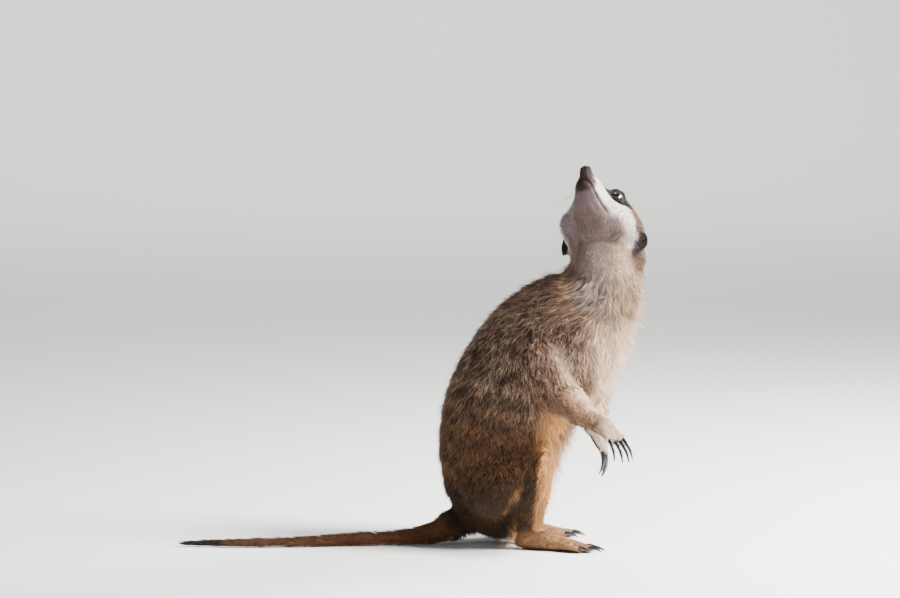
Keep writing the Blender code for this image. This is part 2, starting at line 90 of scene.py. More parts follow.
# How the coat lies on each part of the body: its depth over the skin and the length and width of a
# tuft in millimetres, the tufts on a square millimetre, how far they stray from the coat's lie, and
# how far guard hairs stand out over the rest in millimetres.
COAT_SHEET = {
    "head": (1.9, 2.9, 0.25, 3.4, 0.15, 0.5),
    "lower_jaw": (0.8, 2.0, 0.22, 3.8, 0.12, 0.1),
    "nose": (0.2, 0.9, 0.20, 4.5, 0.10, 0.0),
    "ear": (0.5, 2.2, 0.26, 4.0, 0.20, 0.2),
    "neck": (4.0, 8.0, 0.34, 3.15, 0.36, 9.0),
    "trunk": (5.0, 9.5, 0.43, 2.45, 0.46, 7.5),
    "tail_base": (2.6, 6.5, 0.42, 1.9, 0.22, 0.6),
    "tail_middle": (1.9, 5.5, 0.38, 1.9, 0.13, 0.3),
    "tail_tip": (1.1, 4.5, 0.36, 1.9, 0.12, 0.4),
    "upper_arm": (3.0, 7.0, 0.41, 1.8, 0.38, 2.0),
    "forearm": (1.8, 4.0, 0.33, 2.0, 0.26, 1.0),
    "hand": (0.8, 2.0, 0.27, 3.4, 0.15, 0.2),
    "thigh": (4.4, 8.5, 0.43, 2.4, 0.36, 2.4),
    "shank": (2.2, 5.5, 0.43, 1.2, 0.26, 1.0),
    "foot": (0.9, 2.6, 0.37, 1.15, 0.15, 0.2),
}
# The pieces that the coat is cut into: a node for each, the seed of its random draws, and the
# parts and sides of the body that it covers.
COAT_PIECES = {
    "coat_back_L": ("trunk", 10, ("trunk", "back", "left", "high")),
    "coat_back_R": ("trunk", 11, ("trunk", "back", "right", "high")),
    "coat_hip_L": ("trunk", 12, ("trunk", "back", "left", "low")),
    "coat_hip_R": ("trunk", 13, ("trunk", "back", "right", "low")),
    "coat_chest": ("trunk", 14, ("trunk", "front")),
    "coat_neck": ("neck", 15, ("neck",)),
    "coat_legs": ("thigh_R", 16, ("thigh",)),
    "coat_head_L": ("head", 30, ("head", "lower_jaw", "nose", "ear", "left")),
    "coat_head_R": ("head", 31, ("head", "lower_jaw", "nose", "ear", "right")),
    "coat_arms": ("forearm_R", 40, ("upper_arm", "forearm", "hand")),
    "coat_feet": ("shank_R", 41, ("shank", "foot")),
    "coat_tail": ("tail_base", 50, ("tail_base", "tail_middle", "tail_tip")),
}
WAIST = 0.092           # height that parts the hips from the back
FLANK = 0.35            # how far round to the front the coat of the back reaches
COAT_FLOOR = 0.0002     # lowest that a tuft reaches
SOLE = 0.0012           # skin below this that faces down has no tufts
MOST_TUFTS = 15500      # in one piece; a tuft has ten triangles
TUFT_RINGS = ((0.0, 0.75), (0.5, 1.0))     # how far along a tuft each ring stands, and its girth
RIDGE = 0.42            # height of a tuft's ridge for its width
ROOT_SINK = 0.00025     # how far a root stands in the skin
WAVE = 0.009            # size of the waves in the lie of the coat
LOCK, LOCK_PULL = 9, 0.45                  # tufts to a lock, and the most that it draws them in
UNDERFUR = 0.34         # share of the tufts that are short underfur
GUARD, GUARD_IN_FRONT = 0.18, 0.14         # guard hairs among the rest, and how many more in front
GUARD_LENGTH = 1.2      # length of a guard hair for that of a tuft
BOWS = (1.15, 1.7)      # how guard hairs and other tufts bow over
PATCH = 0.003           # width of a tuft's patch on the unwrap
UP = np.array([0.0, 0.0, 1.0])


# ================================================================ sizes and colours
def colour(name, description, rgb):
    """A colour on the sheet."""
    return FloatVectorProperty(name=name, description=description, size=3, subtype="COLOR",
                               min=0.0, max=1.0, default=rgb)


def distance(name, description, metres):
    """A length on the sheet."""
    return FloatProperty(name=name, description=description, unit="LENGTH", subtype="DISTANCE",
                         precision=5, default=metres)


def share(name, description, value, most=1.0):
    """A number from nought to one, or a little over."""
    return FloatProperty(name=name, description=description, min=0.0, max=most, default=value)


def power(name, lit, watts):
    """The power of a lamp on the sheet."""
    return FloatProperty(name=name, description=f"Power of {lit} in watts", min=0.0, default=watts)


def turn(name, description, degrees):
    """An angle on the sheet."""
    return FloatProperty(name=name, description=description, unit="ROTATION", subtype="ANGLE",
                         default=math.radians(degrees))


class CoatPatch(bpy.types.PropertyGroup):
    """How the coat lies on one part of the body"""
    depth: distance("Depth", "How far the coat stands over the skin", 0.003)
    length: distance("Tuft length", "Length of one tuft from root to tip", 0.008)
    width: distance("Tuft width", "Width of one tuft at its widest", 0.0006)
    density: FloatProperty(name="Density", description="Tufts on each square millimetre of skin",
                           min=0.0, max=10.0, default=1.0)
    frizz: share("Frizz", "How much the tufts stray from the lie of the coat", 0.2)
    stand: distance("Guard hairs", "How far the longest hairs stand out over the rest", 0.001)


class SkinSettings(bpy.types.PropertyGroup):
    """Sizes of the skin"""
    swell: distance("Swell", "How far each solid grows so that its neighbours meet", 0.00036)
    grain: distance("Grain", "Edge length of the skin's first mesh", 0.00075)
    faces: IntProperty(name="Faces", description="Triangles that the skin keeps", default=150000)
    lid: distance("Lid thickness", "How far the eyelids stand over the eye", 0.0006)
    opening_long: distance("Eye length", "Half the length of the opening between the lids", 0.0053)
    opening_tall: distance("Eye height", "Half the height of the opening between the lids", 0.0034)
    nostril: distance("Nostril", "Radius of a nostril", 0.0011)
    lip: distance("Mouth groove", "Depth of the groove between the lips", 0.0007)


class CoatColours(bpy.types.PropertyGroup):
    """Colours of the coat and skin"""
    grey_back: colour("Shoulders", "Grizzled brown of shoulders and flanks", (0.112, 0.055, 0.033))
    back_dark: colour("Back", "Darker brown along the back", (0.050, 0.026, 0.015))
    band: colour("Back bands", "Dark bands across the lower back", (0.026, 0.014, 0.009))
    tick: colour("Ticking", "Pale ends of the hairs on the back", (0.640, 0.450, 0.335))
    # Partly painted shade: darker and bluer than the fur itself, as under the jaw.
    jaw: colour("Jaw", "Dark mauve grey under the jaw", (0.140, 0.094, 0.086))
    tawny: colour("Hip ticking", "Tawny ends of the hairs on hips and legs", (0.340, 0.165, 0.066))
    hip: colour("Hip", "Warm brown of the hips and thighs", (0.064, 0.029, 0.012))
    gold: colour("Knee", "Golden orange in front of the thighs", (0.780, 0.390, 0.140))
    tail: colour("Tail", "Rusty brown of the tail", (0.125, 0.050, 0.018))
    tail_end: colour("Tail tip", "Dark tip of the tail", (0.020, 0.012, 0.009))
    throat: colour("Throat", "Mauve grey of the throat", (0.235, 0.165, 0.145))
    cheek: colour("Cheek", "Near white of the cheeks and chin", (0.760, 0.680, 0.615))
    crown: colour("Crown", "Orange brown of the crown and brow", (0.125, 0.061, 0.029))
    muzzle: colour("Muzzle", "Grey brown along the top of the muzzle", (0.200, 0.130, 0.112))
    lip_dark: colour("Lip", "Dark brown of the upper lip", (0.036, 0.021, 0.017))
    eye_patch: colour("Eye patch", "Dark patch round each eye", (0.0070, 0.0052, 0.0048))
    ear: colour("Ear", "Slate black of the ears", (0.018, 0.014, 0.013))
    chest: colour("Chest", "Cream of the chest", (0.860, 0.625, 0.425))
    # Used along the very front of the belly, partly as painted rim light.
    belly: colour("Belly", "Pale gold of the belly", (0.700, 0.500, 0.330))
    arm: colour("Arm", "Pinkish tan of the arms", (0.440, 0.265, 0.165))
    hand: colour("Hand", "Cream white of the hands", (0.520, 0.385, 0.275))
    foot: colour("Foot", "Tawny cream of the feet", (0.235, 0.120, 0.052))
    pad: colour("Pads", "Black skin of the palms, nose and lid rims", (0.010, 0.008, 0.008))
    claw: colour("Claws", "Black horn of the claws", (0.010, 0.010, 0.012))
    iris: colour("Iris", "Dark brown of the iris", (0.007, 0.0055, 0.006))


class StageSettings(bpy.types.PropertyGroup):
    """Camera, floor and lights"""
    azimuth: turn("Camera azimuth", "How far the camera stands round to the right", 10.0)
    elevation: turn("Camera elevation", "How far the camera looks down", 5.0)
    away: distance("Camera distance", "From the camera to the point that it aims at", 3.0)
    lens: FloatProperty(name="Lens", description="Focal length in millimetres on a 36 mm sensor",
                        default=179.1)
    aim: FloatVectorProperty(name="Aim", description="Point that the camera aims at", size=3,
                             subtype="TRANSLATION", unit="LENGTH", default=(0.0168, 0.0243, 0.1625))
    key: power("Key light", "the key light", 78.0)
    fill: power("Fill light", "the fill light", 4.0)
    rim: power("Back light", "the back light", 30.0)
    wall: power("Wall light", "the light on the wall", 110.0)
    sky: share("Sky", "Strength of the even light from all round", 0.12, 4.0)
    room: distance("Room", "From the middle of the floor to the wall round it", 4.4)
    floor: colour("Floor", "Pale floor and backdrop", (0.80, 0.79, 0.77))


class MeerkatSheet(bpy.types.PropertyGroup):
    """Everything that a user would change"""
    skin: PointerProperty(type=SkinSettings, name="Skin", description="Sizes of the skin")
    colours: PointerProperty(type=CoatColours, name="Colours", description="Colours of the coat")
    stage: PointerProperty(type=StageSettings, name="Stage", description="Camera, floor and lights")
    patches: CollectionProperty(type=CoatPatch, name="Coat", description="The coat, part by part")


# ================================================================ sums
def unit(vectors):
    """Each vector at length one."""
    vectors = np.asarray(vectors, float)
    return vectors / np.maximum(np.linalg.norm(vectors, axis=-1, keepdims=True), 1e-12)


def ramp(low, high, values):
    """Nought below low, one above high, eased between; high may be the lower one."""
    t = np.clip((np.asarray(values, float) - low) / (high - low), 0.0, 1.0)
    return t * t * (3.0 - 2.0 * t)


def hump(values, centre, width):
    """One at the centre, fading over the width."""
    return np.exp(-((np.asarray(values, float) - centre) / width) ** 2)


def blend(first, second, amount):
    """From first to second by an amount for each row."""
    return first + (np.asarray(second) - first) * np.asarray(amount)[:, None]


def waviness(points, size, seed):
    """A smooth random value about nought for each point, with swells of the given size."""
    rng = np.random.default_rng(seed)
    total = np.zeros(len(points))
    for _ in range(7):
        way = unit(rng.normal(size=3)) * rng.uniform(0.7, 1.4) * 2.0 * math.pi / size
        total += np.sin(points @ way + rng.uniform(0.0, 2.0 * math.pi))
    return total / 2.6


def middle(name):
    """Centre of a node's box."""
    low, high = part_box(name)
    return (np.array(low) + np.array(high)) / 2.0


def node_points(name):
    """Vertices of a node."""
    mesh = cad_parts[name].data
    points = np.empty(len(mesh.vertices) * 3)
    mesh.vertices.foreach_get("co", points)
    return points.reshape(-1, 3)


def long_axis(name, towards):
    """The way that a long node runs, pointing towards another place."""
    points = node_points(name)
    centred = points - points.mean(0)
    axis = np.linalg.svd(centred, full_matrices=False)[2][0]
    return axis if axis @ (towards - points.mean(0)) > 0 else -axis


# ================================================================ landmarks
class Head:
    """The head's own axes, from the eyes and nose: forward, left and crown, in millimetres."""
    EYE_FORWARD, EYE_RISE = 29.0, 6.5
    NOSE_DROOP = math.radians(13.82)

    def __init__(self):
        left_eye, right_eye = middle("eye_L"), middle("eye_R")
        between = (left_eye + right_eye) / 2.0
        self.left = unit(left_eye - right_eye)
        ahead = middle("nose") - between
        ahead = unit(ahead - self.left * (ahead @ self.left))
        above = np.cross(ahead, self.left)
        self.forward = ahead * math.cos(self.NOSE_DROOP) + above * math.sin(self.NOSE_DROOP)
        self.crown = np.cross(self.forward, self.left)
        self.origin = between - (self.forward * self.EYE_FORWARD + self.crown * self.EYE_RISE) * MM
        self.axes = np.stack([self.forward, self.left, self.crown])

    def measure(self, points):
        """Points in the head's axes."""
        return (points - self.origin) @ self.axes.T / MM

    def place(self, a, b, c):
        """A point of the head's axes in the frame."""
        return self.origin + (self.forward * a + self.left * b + self.crown * c) * MM


class Torso:
    """The line through the trunk and neck, and the way that the belly faces at each height."""
    TWIST_Z = np.array([0.116, 0.137, 0.150, 0.160, 0.168])
    TWIST = np.radians([5.0, -8.0, -24.0, -50.0, -77.0])
    SLICE_Z = np.arange(0.018, 0.152, 0.012)
    HALF_SLICE, STEP = 0.009, 0.006

    def __init__(self, head):
        points = node_points("trunk")
        rows = []
        for z in self.SLICE_Z:
            band = points[np.abs(points[:, 2] - z) < self.HALF_SLICE]
            rows.append([(band[:, 0].min() + band[:, 0].max()) / 2.0,
                         (band[:, 1].min() + band[:, 1].max()) / 2.0, z])
        rows.append(list(middle("neck")))
        rows.append(list(head.origin))
        self.line = np.array(rows)
        hips = middle("thigh_L") - middle("thigh_R")
        self.turn_z = np.array([middle("thigh_L")[2], *self.TWIST_Z, head.origin[2]])
        self.turns = np.array([self.heading(hips), *self.TWIST, self.heading(head.left)])

    @staticmethod
    def heading(left):
        """Angle about the vertical that a body with this left side faces."""
        return math.atan2(-left[0], left[1])

    def centre(self, z):
        """Middle of the body at each height."""
        across, along, heights = self.line.T
        return np.stack([np.interp(z, heights, across), np.interp(z, heights, along)], 1)

    def facing(self, z):
        """Level direction that the belly faces at each height."""
        angle = np.interp(z, self.turn_z, self.turns)
        return np.stack([np.cos(angle), np.sin(angle), np.zeros(len(angle))], 1)

    def front(self, points):
        """One on the middle of the belly, minus one on the middle of the back."""
        out = points[:, :2] - self.centre(points[:, 2])
        return np.sum(unit(out) * self.facing(points[:, 2])[:, :2], 1)

    def leftward(self, points):
        """Above nought on the body's own left side."""
        out = points[:, :2] - self.centre(points[:, 2])
        facing = self.facing(points[:, 2])
        return facing[:, 0] * out[:, 1] - facing[:, 1] * out[:, 0]

    def down(self, z):
        """The way from the neck to the tail at each height."""
        low, high = self.centre(z - self.STEP), self.centre(z + self.STEP)
        return unit(np.concatenate([low - high, np.full((len(z), 1), -2.0 * self.STEP)], 1))


HEAD = Head()
TORSO = Torso(HEAD)


# ================================================================ meshes
def placed(name, data):
    """A new object in the scene."""
    thing = bpy.data.objects.new(name, data)
    bpy.context.scene.collection.objects.link(thing)
    return thing


def mesh_object(name, points, corners, sizes):
    """A new object from vertices, the corners of its faces in a row, and each face's count."""
    mesh = bpy.data.meshes.new(name)
    mesh.vertices.add(len(points))
    mesh.vertices.foreach_set("co", np.asarray(points, np.float32).ravel())
    mesh.loops.add(len(corners))
    mesh.loops.foreach_set("vertex_index", np.asarray(corners, np.int32))
    mesh.polygons.add(len(sizes))
    starts = np.concatenate([[0], np.cumsum(sizes)[:-1]]).astype(np.int32)
    mesh.polygons.foreach_set("loop_start", starts)
    mesh.polygons.foreach_set("use_smooth", np.ones(len(sizes), bool))
    mesh.update(calc_edges=True)
    return placed(name, mesh)


def ring_faces(rings, steps):
    """Four-sided faces between closed rings of vertices, ring after ring."""
    faces = []
    for ring in range(rings - 1):
        for step in range(steps):
            a, b = steps * ring + step, steps * ring + (step + 1) % steps
            faces.append((a, b, b + steps, a + steps))
    return faces


def spike_faces(rings, sides):
    """A closed spike of some rings and a tip: the corners of its faces, and each face's count."""
    last, tip = sides * (rings - 1), sides * rings
    faces = ring_faces(rings, sides)
    faces += [(last + k, last + (k + 1) % sides, tip) for k in range(sides)]
    faces.append(tuple(range(sides))[::-1])
    return np.concatenate(faces), np.array([len(face) for face in faces])


def triangles(mesh):
    """Corner rows of a mesh's triangles."""
    mesh.calc_loop_triangles()
    rows = np.empty(len(mesh.loop_triangles) * 3, np.int32)
    mesh.loop_triangles.foreach_get("vertices", rows)
    return rows.reshape(-1, 3)


def positions(mesh):
    """Vertices of a mesh."""
    points = np.empty(len(mesh.vertices) * 3)
    mesh.vertices.foreach_get("co", points)
    return points.reshape(-1, 3)


def put_positions(mesh, points):
    """Moves a mesh's vertices."""
    mesh.vertices.foreach_set("co", np.asarray(points, np.float32).ravel())
    mesh.update()


def smooth_shaded(mesh, material):
    """Gives a mesh smooth shading and one material."""
    mesh.polygons.foreach_set("use_smooth", np.ones(len(mesh.polygons), bool))
    mesh.materials.clear()
    mesh.materials.append(material)


def surface_tree(points, rows):
    """A search tree over a surface of triangles."""
    return BVHTree.FromPolygons(points.tolist(), rows.tolist())


def vertex_normals(points, rows):
    """Normals of the vertices, weighted by face area."""
    a, b, c = (points[rows[:, i]] for i in range(3))
    face = np.cross(b - a, c - a)
    total = np.zeros_like(points)
    for i in range(3):
        for k in range(3):
            total[:, k] += np.bincount(rows[:, i], face[:, k], len(points))
    return unit(total)


class Smoother:
    """Averages values over a mesh's edges."""

    def __init__(self, count, rows):
        pairs = np.concatenate([rows[:, [0, 1]], rows[:, [1, 2]], rows[:, [2, 0]]]).astype(np.int64)
        pairs = np.unique(np.concatenate([pairs, pairs[:, ::-1]]) @ np.array([count, 1]))
        self.near = pairs % count
        shares = np.bincount(pairs // count, minlength=count)
        if shares.min() == 0:
            raise ValueError("a vertex has no edges")
        self.starts = np.concatenate([[0], np.cumsum(shares)[:-1]])
        self.shares = shares.astype(float)

    def around(self, values):
        """Mean of each vertex's neighbours."""
        total = np.add.reduceat(values[self.near], self.starts, axis=0)
        return total / (self.shares if values.ndim == 1 else self.shares[:, None])

    def smooth(self, values, rounds, strength=0.6):
        """Values eased towards their neighbours, several times over."""
        strength = np.asarray(strength)
        if strength.ndim == 1 and values.ndim == 2:
            strength = strength[:, None]
        for _ in range(rounds):
            values = values + (self.around(values) - values) * strength
        return values

    def fair(self, points, rounds, strength):
        """Smooths a surface without shrinking it."""
        for _ in range(rounds):
            points = self.smooth(points, 1, strength)
            points = self.smooth(points, 1, -1.03 * np.asarray(strength))
        return points


LAYERS = {1: ("FLOAT", "value"), 2: ("FLOAT2", "vector"), 3: ("FLOAT_VECTOR", "vector"),
          4: ("FLOAT_COLOR", "color")}


def put_values(mesh, name, values):
    """Stores a value, pair, vector or colour for each vertex."""
    values = np.asarray(values, np.float32)
    kind, field = LAYERS[1 if values.ndim == 1 else values.shape[1]]
    layer = mesh.attributes.get(name) or mesh.attributes.new(name, kind, "POINT")
    layer.data.foreach_set(field, values.ravel())


def get_values(mesh, name):
    """Reads back what put_values stored."""
    layer = mesh.attributes[name]
    width, field = next((w, f) for w, (kind, f) in LAYERS.items() if kind == layer.data_type)
    values = np.empty(len(mesh.vertices) * width, np.float32)
    layer.data.foreach_get(field, values)
    values = values.astype(float)
    return values if width == 1 else values.reshape(-1, width)


def with_alpha(colours):
    """Colours with a full fourth channel."""
    return np.concatenate([colours, np.ones((len(colours), 1))], 1)


def modified(thing, kind, **settings):
    """Applies one modifier to an object."""
    modifier = thing.modifiers.new(kind.lower(), kind)
    for key, value in settings.items():
        setattr(modifier, key, value)
    depsgraph = bpy.context.evaluated_depsgraph_get()
    result = bpy.data.meshes.new_from_object(thing.evaluated_get(depsgraph))
    thing.modifiers.clear()
    old = thing.data
    thing.data = result
    bpy.data.meshes.remove(old)


@contextmanager
def edited(mesh):
    """A bmesh of a mesh, written back at the end."""
    bm = bmesh.new()
    bm.from_mesh(mesh)
    yield bm
    bm.to_mesh(mesh)
    bm.free()


def node_copy(bm, name, swell):
    """Adds a copy of a node to a bmesh, grown a little so that it meets its neighbours."""
    part = bmesh.new()
    part.from_mesh(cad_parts[name].data)
    bmesh.ops.remove_doubles(part, verts=part.verts, dist=1e-6)
    part.normal_update()
    for vertex in part.verts:
        vertex.co += vertex.normal * swell
    twin = {v: bm.verts.new(v.co) for v in part.verts}
    for face in part.faces:
        bm.faces.new([twin[v] for v in face.verts])
    part.free()


def nodes_object(name, nodes, swell):
    """One object of copies of some nodes."""
    mesh = bpy.data.meshes.new(name)
    with edited(mesh) as bm:
        for node in nodes:
            node_copy(bm, node, swell)
    return placed(name, mesh)


# ================================================================ the body's parts
def part_of(name):
    """Name of the part of the body that a node belongs to, without its side."""
    return name[:-2] if name.endswith(("_L", "_R")) else name


PARTS = tuple(COAT_SHEET)
LIMB_CHAIN = {"tail_base": "tail_middle", "tail_middle": "tail_tip"}
for near_end, far_end in (("upper_arm_{}", "forearm_{}"), ("forearm_{}", "hand_{}"),
                          ("hand_{}", "fore_claw_{}2"), ("shank_{}", "foot_{}"),
                          ("foot_{}", "hind_claw_{}2")):
    LIMB_CHAIN.update({near_end.format(side): far_end.format(side) for side in "LR"})


def share_in(parts, *names):
    """How much each vertex belongs to some parts of the body together."""
    return parts[:, [PARTS.index(name) for name in names]].sum(1)


def sheet_values(parts, sheet, key):
    """One of the coat's sizes at each vertex."""
    return parts @ np.array([getattr(sheet.patches[name], key) for name in PARTS])


class NearestNode:
    """Finds the flesh node that lies nearest to each point."""

    def __init__(self):
        vertices, faces, self.owner = [], [], []
        for index, name in enumerate(FLESH):
            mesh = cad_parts[name].data
            base = len(vertices)
            vertices += [tuple(v.co) for v in mesh.vertices]
            for polygon in mesh.polygons:
                faces.append([base + i for i in polygon.vertices])
                self.owner.append(index)
        self.tree = BVHTree.FromPolygons(vertices, faces)

    def find(self, points):
        """Index in FLESH of each point's nearest node."""
        out = np.zeros(len(points), int)
        for row, point in enumerate(points):
            out[row] = self.owner[self.tree.find_nearest(point)[2]]
        return out


def part_shares(points, smoother, nearest, rounds):
    """How much each vertex belongs to each part of the body, eased across the seams."""
    owner = nearest.find(points)
    nodes = np.zeros((len(points), len(FLESH)))
    nodes[np.arange(len(points)), owner] = 1.0
    parts = np.zeros((len(points), len(PARTS)))
    for index, name in enumerate(FLESH):
        parts[:, PARTS.index(part_of(name))] += nodes[:, index]
    return owner, smoother.smooth(parts, rounds)


def lie_of_coat(points, normals, owner, smoother):
    """The direction along the skin in which the hair lies at each vertex."""
    heights = points[:, 2]
    down, facing = TORSO.down(heights), TORSO.facing(heights)
    flow = down + facing * 0.38
    for index, name in enumerate(FLESH):
        mine = owner == index
        part = part_of(name)
        if part in ("head", "lower_jaw", "nose", "ear"):
            way = np.tile(-HEAD.forward, (mine.sum(), 1)) - HEAD.crown * 0.22
            out = normals[mine] - np.outer(normals[mine] @ HEAD.forward, HEAD.forward)
            flow[mine] = way + out * 0.1
        elif part == "neck":
            flow[mine] = down[mine] - facing[mine] * 0.05
        elif part == "thigh":
            flow[mine] = facing[mine] * 0.16 - UP
        elif name == "tail_tip":
            flow[mine] = -long_axis(name, middle("tail_middle"))
        elif name in LIMB_CHAIN:
            flow[mine] = long_axis(name, middle(LIMB_CHAIN[name]))
    flow = unit(flow)
    for _ in range(3):
        flow = smoother.smooth(flow, 8)
        flow = unit(flow - normals * np.sum(flow * normals, 1)[:, None])
    return flow


# ================================================================ the skin
def coat_depth(points, parts, sheet):
    """How deep the coat is at each vertex: thin on the muzzle, full on the cheeks."""
    depth = sheet_values(parts, sheet, "depth")
    a, b, c = HEAD.measure(points).T
    on_head = share_in(parts, "head", "lower_jaw")
    muzzle = on_head * ramp(20.0, 38.0, a)
    depth = depth * (1.0 - 0.72 * muzzle)
    cheeks = on_head * ramp(2.0, -6.0, c) * ramp(24.0, 12.0, a) * ramp(8.0, 16.0, np.abs(b))
    return depth + cheeks * 1.2 * MM


def creases(parts, smoother, points):
    """How much each vertex lies in a fold that the coat fills, between two parts of the body."""
    pairs = [("trunk", "thigh"), ("trunk", "neck"), ("neck", "head"), ("trunk", "upper_arm"),
             ("upper_arm", "forearm"), ("thigh", "shank"), ("trunk", "tail_base")]
    names = sorted({name for pair in pairs for name in pair})
    wide = smoother.smooth(parts[:, [PARTS.index(name) for name in names]], FOLD_ROUNDS)
    total = sum(wide[:, names.index(one)] * wide[:, names.index(two)] for one, two in pairs)
    return np.clip(5.0 * total, 0.0, 1.0) * ramp(0.016, 0.028, points[:, 2])


class EyeFrame:
    """One eye's centre, radius and axes: out of the head, along the opening and up."""

    def __init__(self, name, points, normals):
        low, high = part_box(name)
        self.centre = middle(name)
        self.radius = float(np.max(np.array(high) - np.array(low))) / 2.0
        away = points - self.centre
        near = np.linalg.norm(away, axis=1) < self.radius * 1.6
        self.out = unit(normals[near].mean(0))
        side = 1.0 if name.endswith("_L") else -1.0
        along = HEAD.forward - HEAD.crown * 0.05
        self.along = unit(along - self.out * (along @ self.out))
        self.up = unit(np.cross(self.out, self.along)) * side
        if self.up @ HEAD.crown < 0:
            self.up = -self.up

    def measure(self, points):
        """Along the opening, up across it, and out of the head."""
        away = points - self.centre
        return away @ self.along, away @ self.up, away @ self.out

    def opening(self, points, long, tall):
        """Below nought inside the opening between the lids, in lid heights."""
        x, y, _ = self.measure(points)
        return np.abs(y) / tall + (x / long) ** 2 - 1.0


LID_RIM, CREASE, SOCKET = 0.0004, 0.0005, 0.0013     # rim's place, crease's and socket's depth


def set_eyelids(points, eye, skin):
    """Draws the skin round an eye into a socket, lids and an open almond."""
    away = points - eye.centre
    reach = np.linalg.norm(away, axis=1)
    x, y, z = eye.measure(points)
    near = (reach < eye.radius * 2.6) & (z > -0.2 * eye.radius)
    way = away[near] / reach[near][:, None]
    now = reach[near]
    edge = eye.opening(points[near], skin.opening_long, skin.opening_tall) * skin.opening_tall
    beyond = np.sqrt(np.maximum(x[near] ** 2 + y[near] ** 2, 0.0))
    lid = eye.radius + skin.lid * (0.55 + 0.6 * hump(edge, LID_RIM, 0.0006))
    hold = ramp(0.0048, 0.0012, edge) * ramp(2.3 * eye.radius, 1.1 * eye.radius, beyond)
    crease = CREASE * hump(edge, 0.0019, 0.0005) * (y[near] > 0) * ramp(0.0060, 0.0040, beyond)
    new = now + (lid - now) * hold - crease
    inside = ramp(0.00012, -0.00030, edge)
    new = new + (eye.radius - SOCKET - new) * inside
    moved = points.copy()
    moved[near] = eye.centre + way * new[:, None]
    return moved


# The line between the lips: its drop in millimetres at some places along the head.
MOUTH_LINE = ([24.0, 27.0, 36.0, 44.0, 50.0, 53.0], [-9.6, -10.0, -8.6, -7.6, -6.0, -5.4])


def carve_face(points, normals, skin):
    """Nostrils, the furrow under the nose, the mouth line, lips and brows."""
    a, b, c = HEAD.measure(points).T
    on_face = (a > 20.0) & (np.abs(b) < 24.0) & (c > -22.0) & (c < 28.0)
    side = np.abs(b)
    push = np.zeros(len(points))
    # nostrils: a round pit in front, with a slit running outwards and back
    pit = np.sqrt((side - 2.15) ** 2 + (c - 0.9) ** 2) * MM
    front = ramp(51.5, 53.5, a)
    push -= 0.0019 * ramp(skin.nostril * 1.15, skin.nostril * 0.35, pit) * front
    slit = hump(c, 0.1 + 0.25 * (side - 2.0), 0.42) * ramp(2.0, 2.8, side) * ramp(5.6, 4.2, side)
    push -= 0.0008 * slit * ramp(50.0, 52.0, a)
    rim = hump(pit, skin.nostril * 1.7, skin.nostril * 0.45)
    push += 0.00028 * rim * front
    push -= 0.0009 * ramp(3.0, 5.5, side) * ramp(47.0, 52.0, a)
    # furrow down the middle of the nose pad and lip
    furrow = 0.00055 * hump(b, 0.0, 0.34) * ramp(1.6, 0.2, c)
    push -= furrow * ramp(-6.0, -4.6, c) * ramp(46.0, 50.0, a)
    # edge of the nose pad
    pad_edge = hump(a, 50.6 - 0.25 * np.abs(c), 0.55) * ramp(-3.0, 0.0, c)
    push -= 0.00030 * pad_edge
    # mouth line, falling from the front to the corners
    line = np.interp(a, *MOUTH_LINE)
    along = ramp(25.5, 28.5, a)
    push -= skin.lip * hump(c, line, 0.55) * along
    push += 0.00035 * hump(c, line + 1.3, 0.9) * along * ramp(54.0, 50.0, a)
    push += 0.00030 * hump(c, line - 1.4, 1.0) * along * ramp(52.0, 48.0, a)
    # whisker pads, brows and the hollow in front of the eyes
    push += 0.00075 * hump(a, 43.5, 4.5) * hump(side, 7.5, 3.5) * hump(c, -2.8, 3.2)
    push += 0.00085 * hump(a, 30.0, 5.5) * hump(side, 12.0, 4.5) * hump(c, 14.0, 2.8)
    push -= 0.00050 * hump(a, 37.5, 3.4) * hump(side, 8.0, 3.0) * hump(c, 5.0, 3.2)
    moved = points.copy()
    moved[on_face] += normals[on_face] * push[on_face][:, None]
    # the snout narrows towards the nose
    slimmed = np.interp(a, [30.0, 42.0, 50.0, 56.0], [0.0, 0.11, 0.12, 0.20]) * on_face
    return moved - np.outer(b * slimmed * MM, HEAD.left)


def refine_face(thing, radius):
    """Splits the faces round the eyes, nose and mouth, so that they take fine detail."""
    spots = [Vector(at) for at in (*map(middle, (*EYES, "nose")), HEAD.place(46.0, 0.0, -5.0))]
    with edited(thing.data) as bm:
        chosen = set()
        for face in bm.faces:
            at = face.calc_center_median()
            if any((at - spot).length < radius for spot in spots):
                chosen.update(face.edges)
        bmesh.ops.subdivide_edges(bm, edges=list(chosen), cuts=1, use_grid_fill=True)
        bmesh.ops.triangulate(bm, faces=bm.faces)


def thin_out(thing, keep, target):
    """Reduces a mesh to a number of triangles, mostly where keep is low."""
    with edited(thing.data) as bm:
        bmesh.ops.triangulate(bm, faces=bm.faces)
    group = thing.vertex_groups.new(name="thin")
    levels = np.round((1.0 - keep) * 10).astype(int)
    for level in range(11):
        chosen = np.nonzero(levels == level)[0]
        if len(chosen):
            group.add([int(i) for i in chosen], level / 10.0, "REPLACE")
    ratio = min(1.0, target / len(thing.data.polygons))
    modified(thing, "DECIMATE", ratio=ratio, vertex_group="thin", vertex_group_factor=4.0)
    thing.vertex_groups.clear()


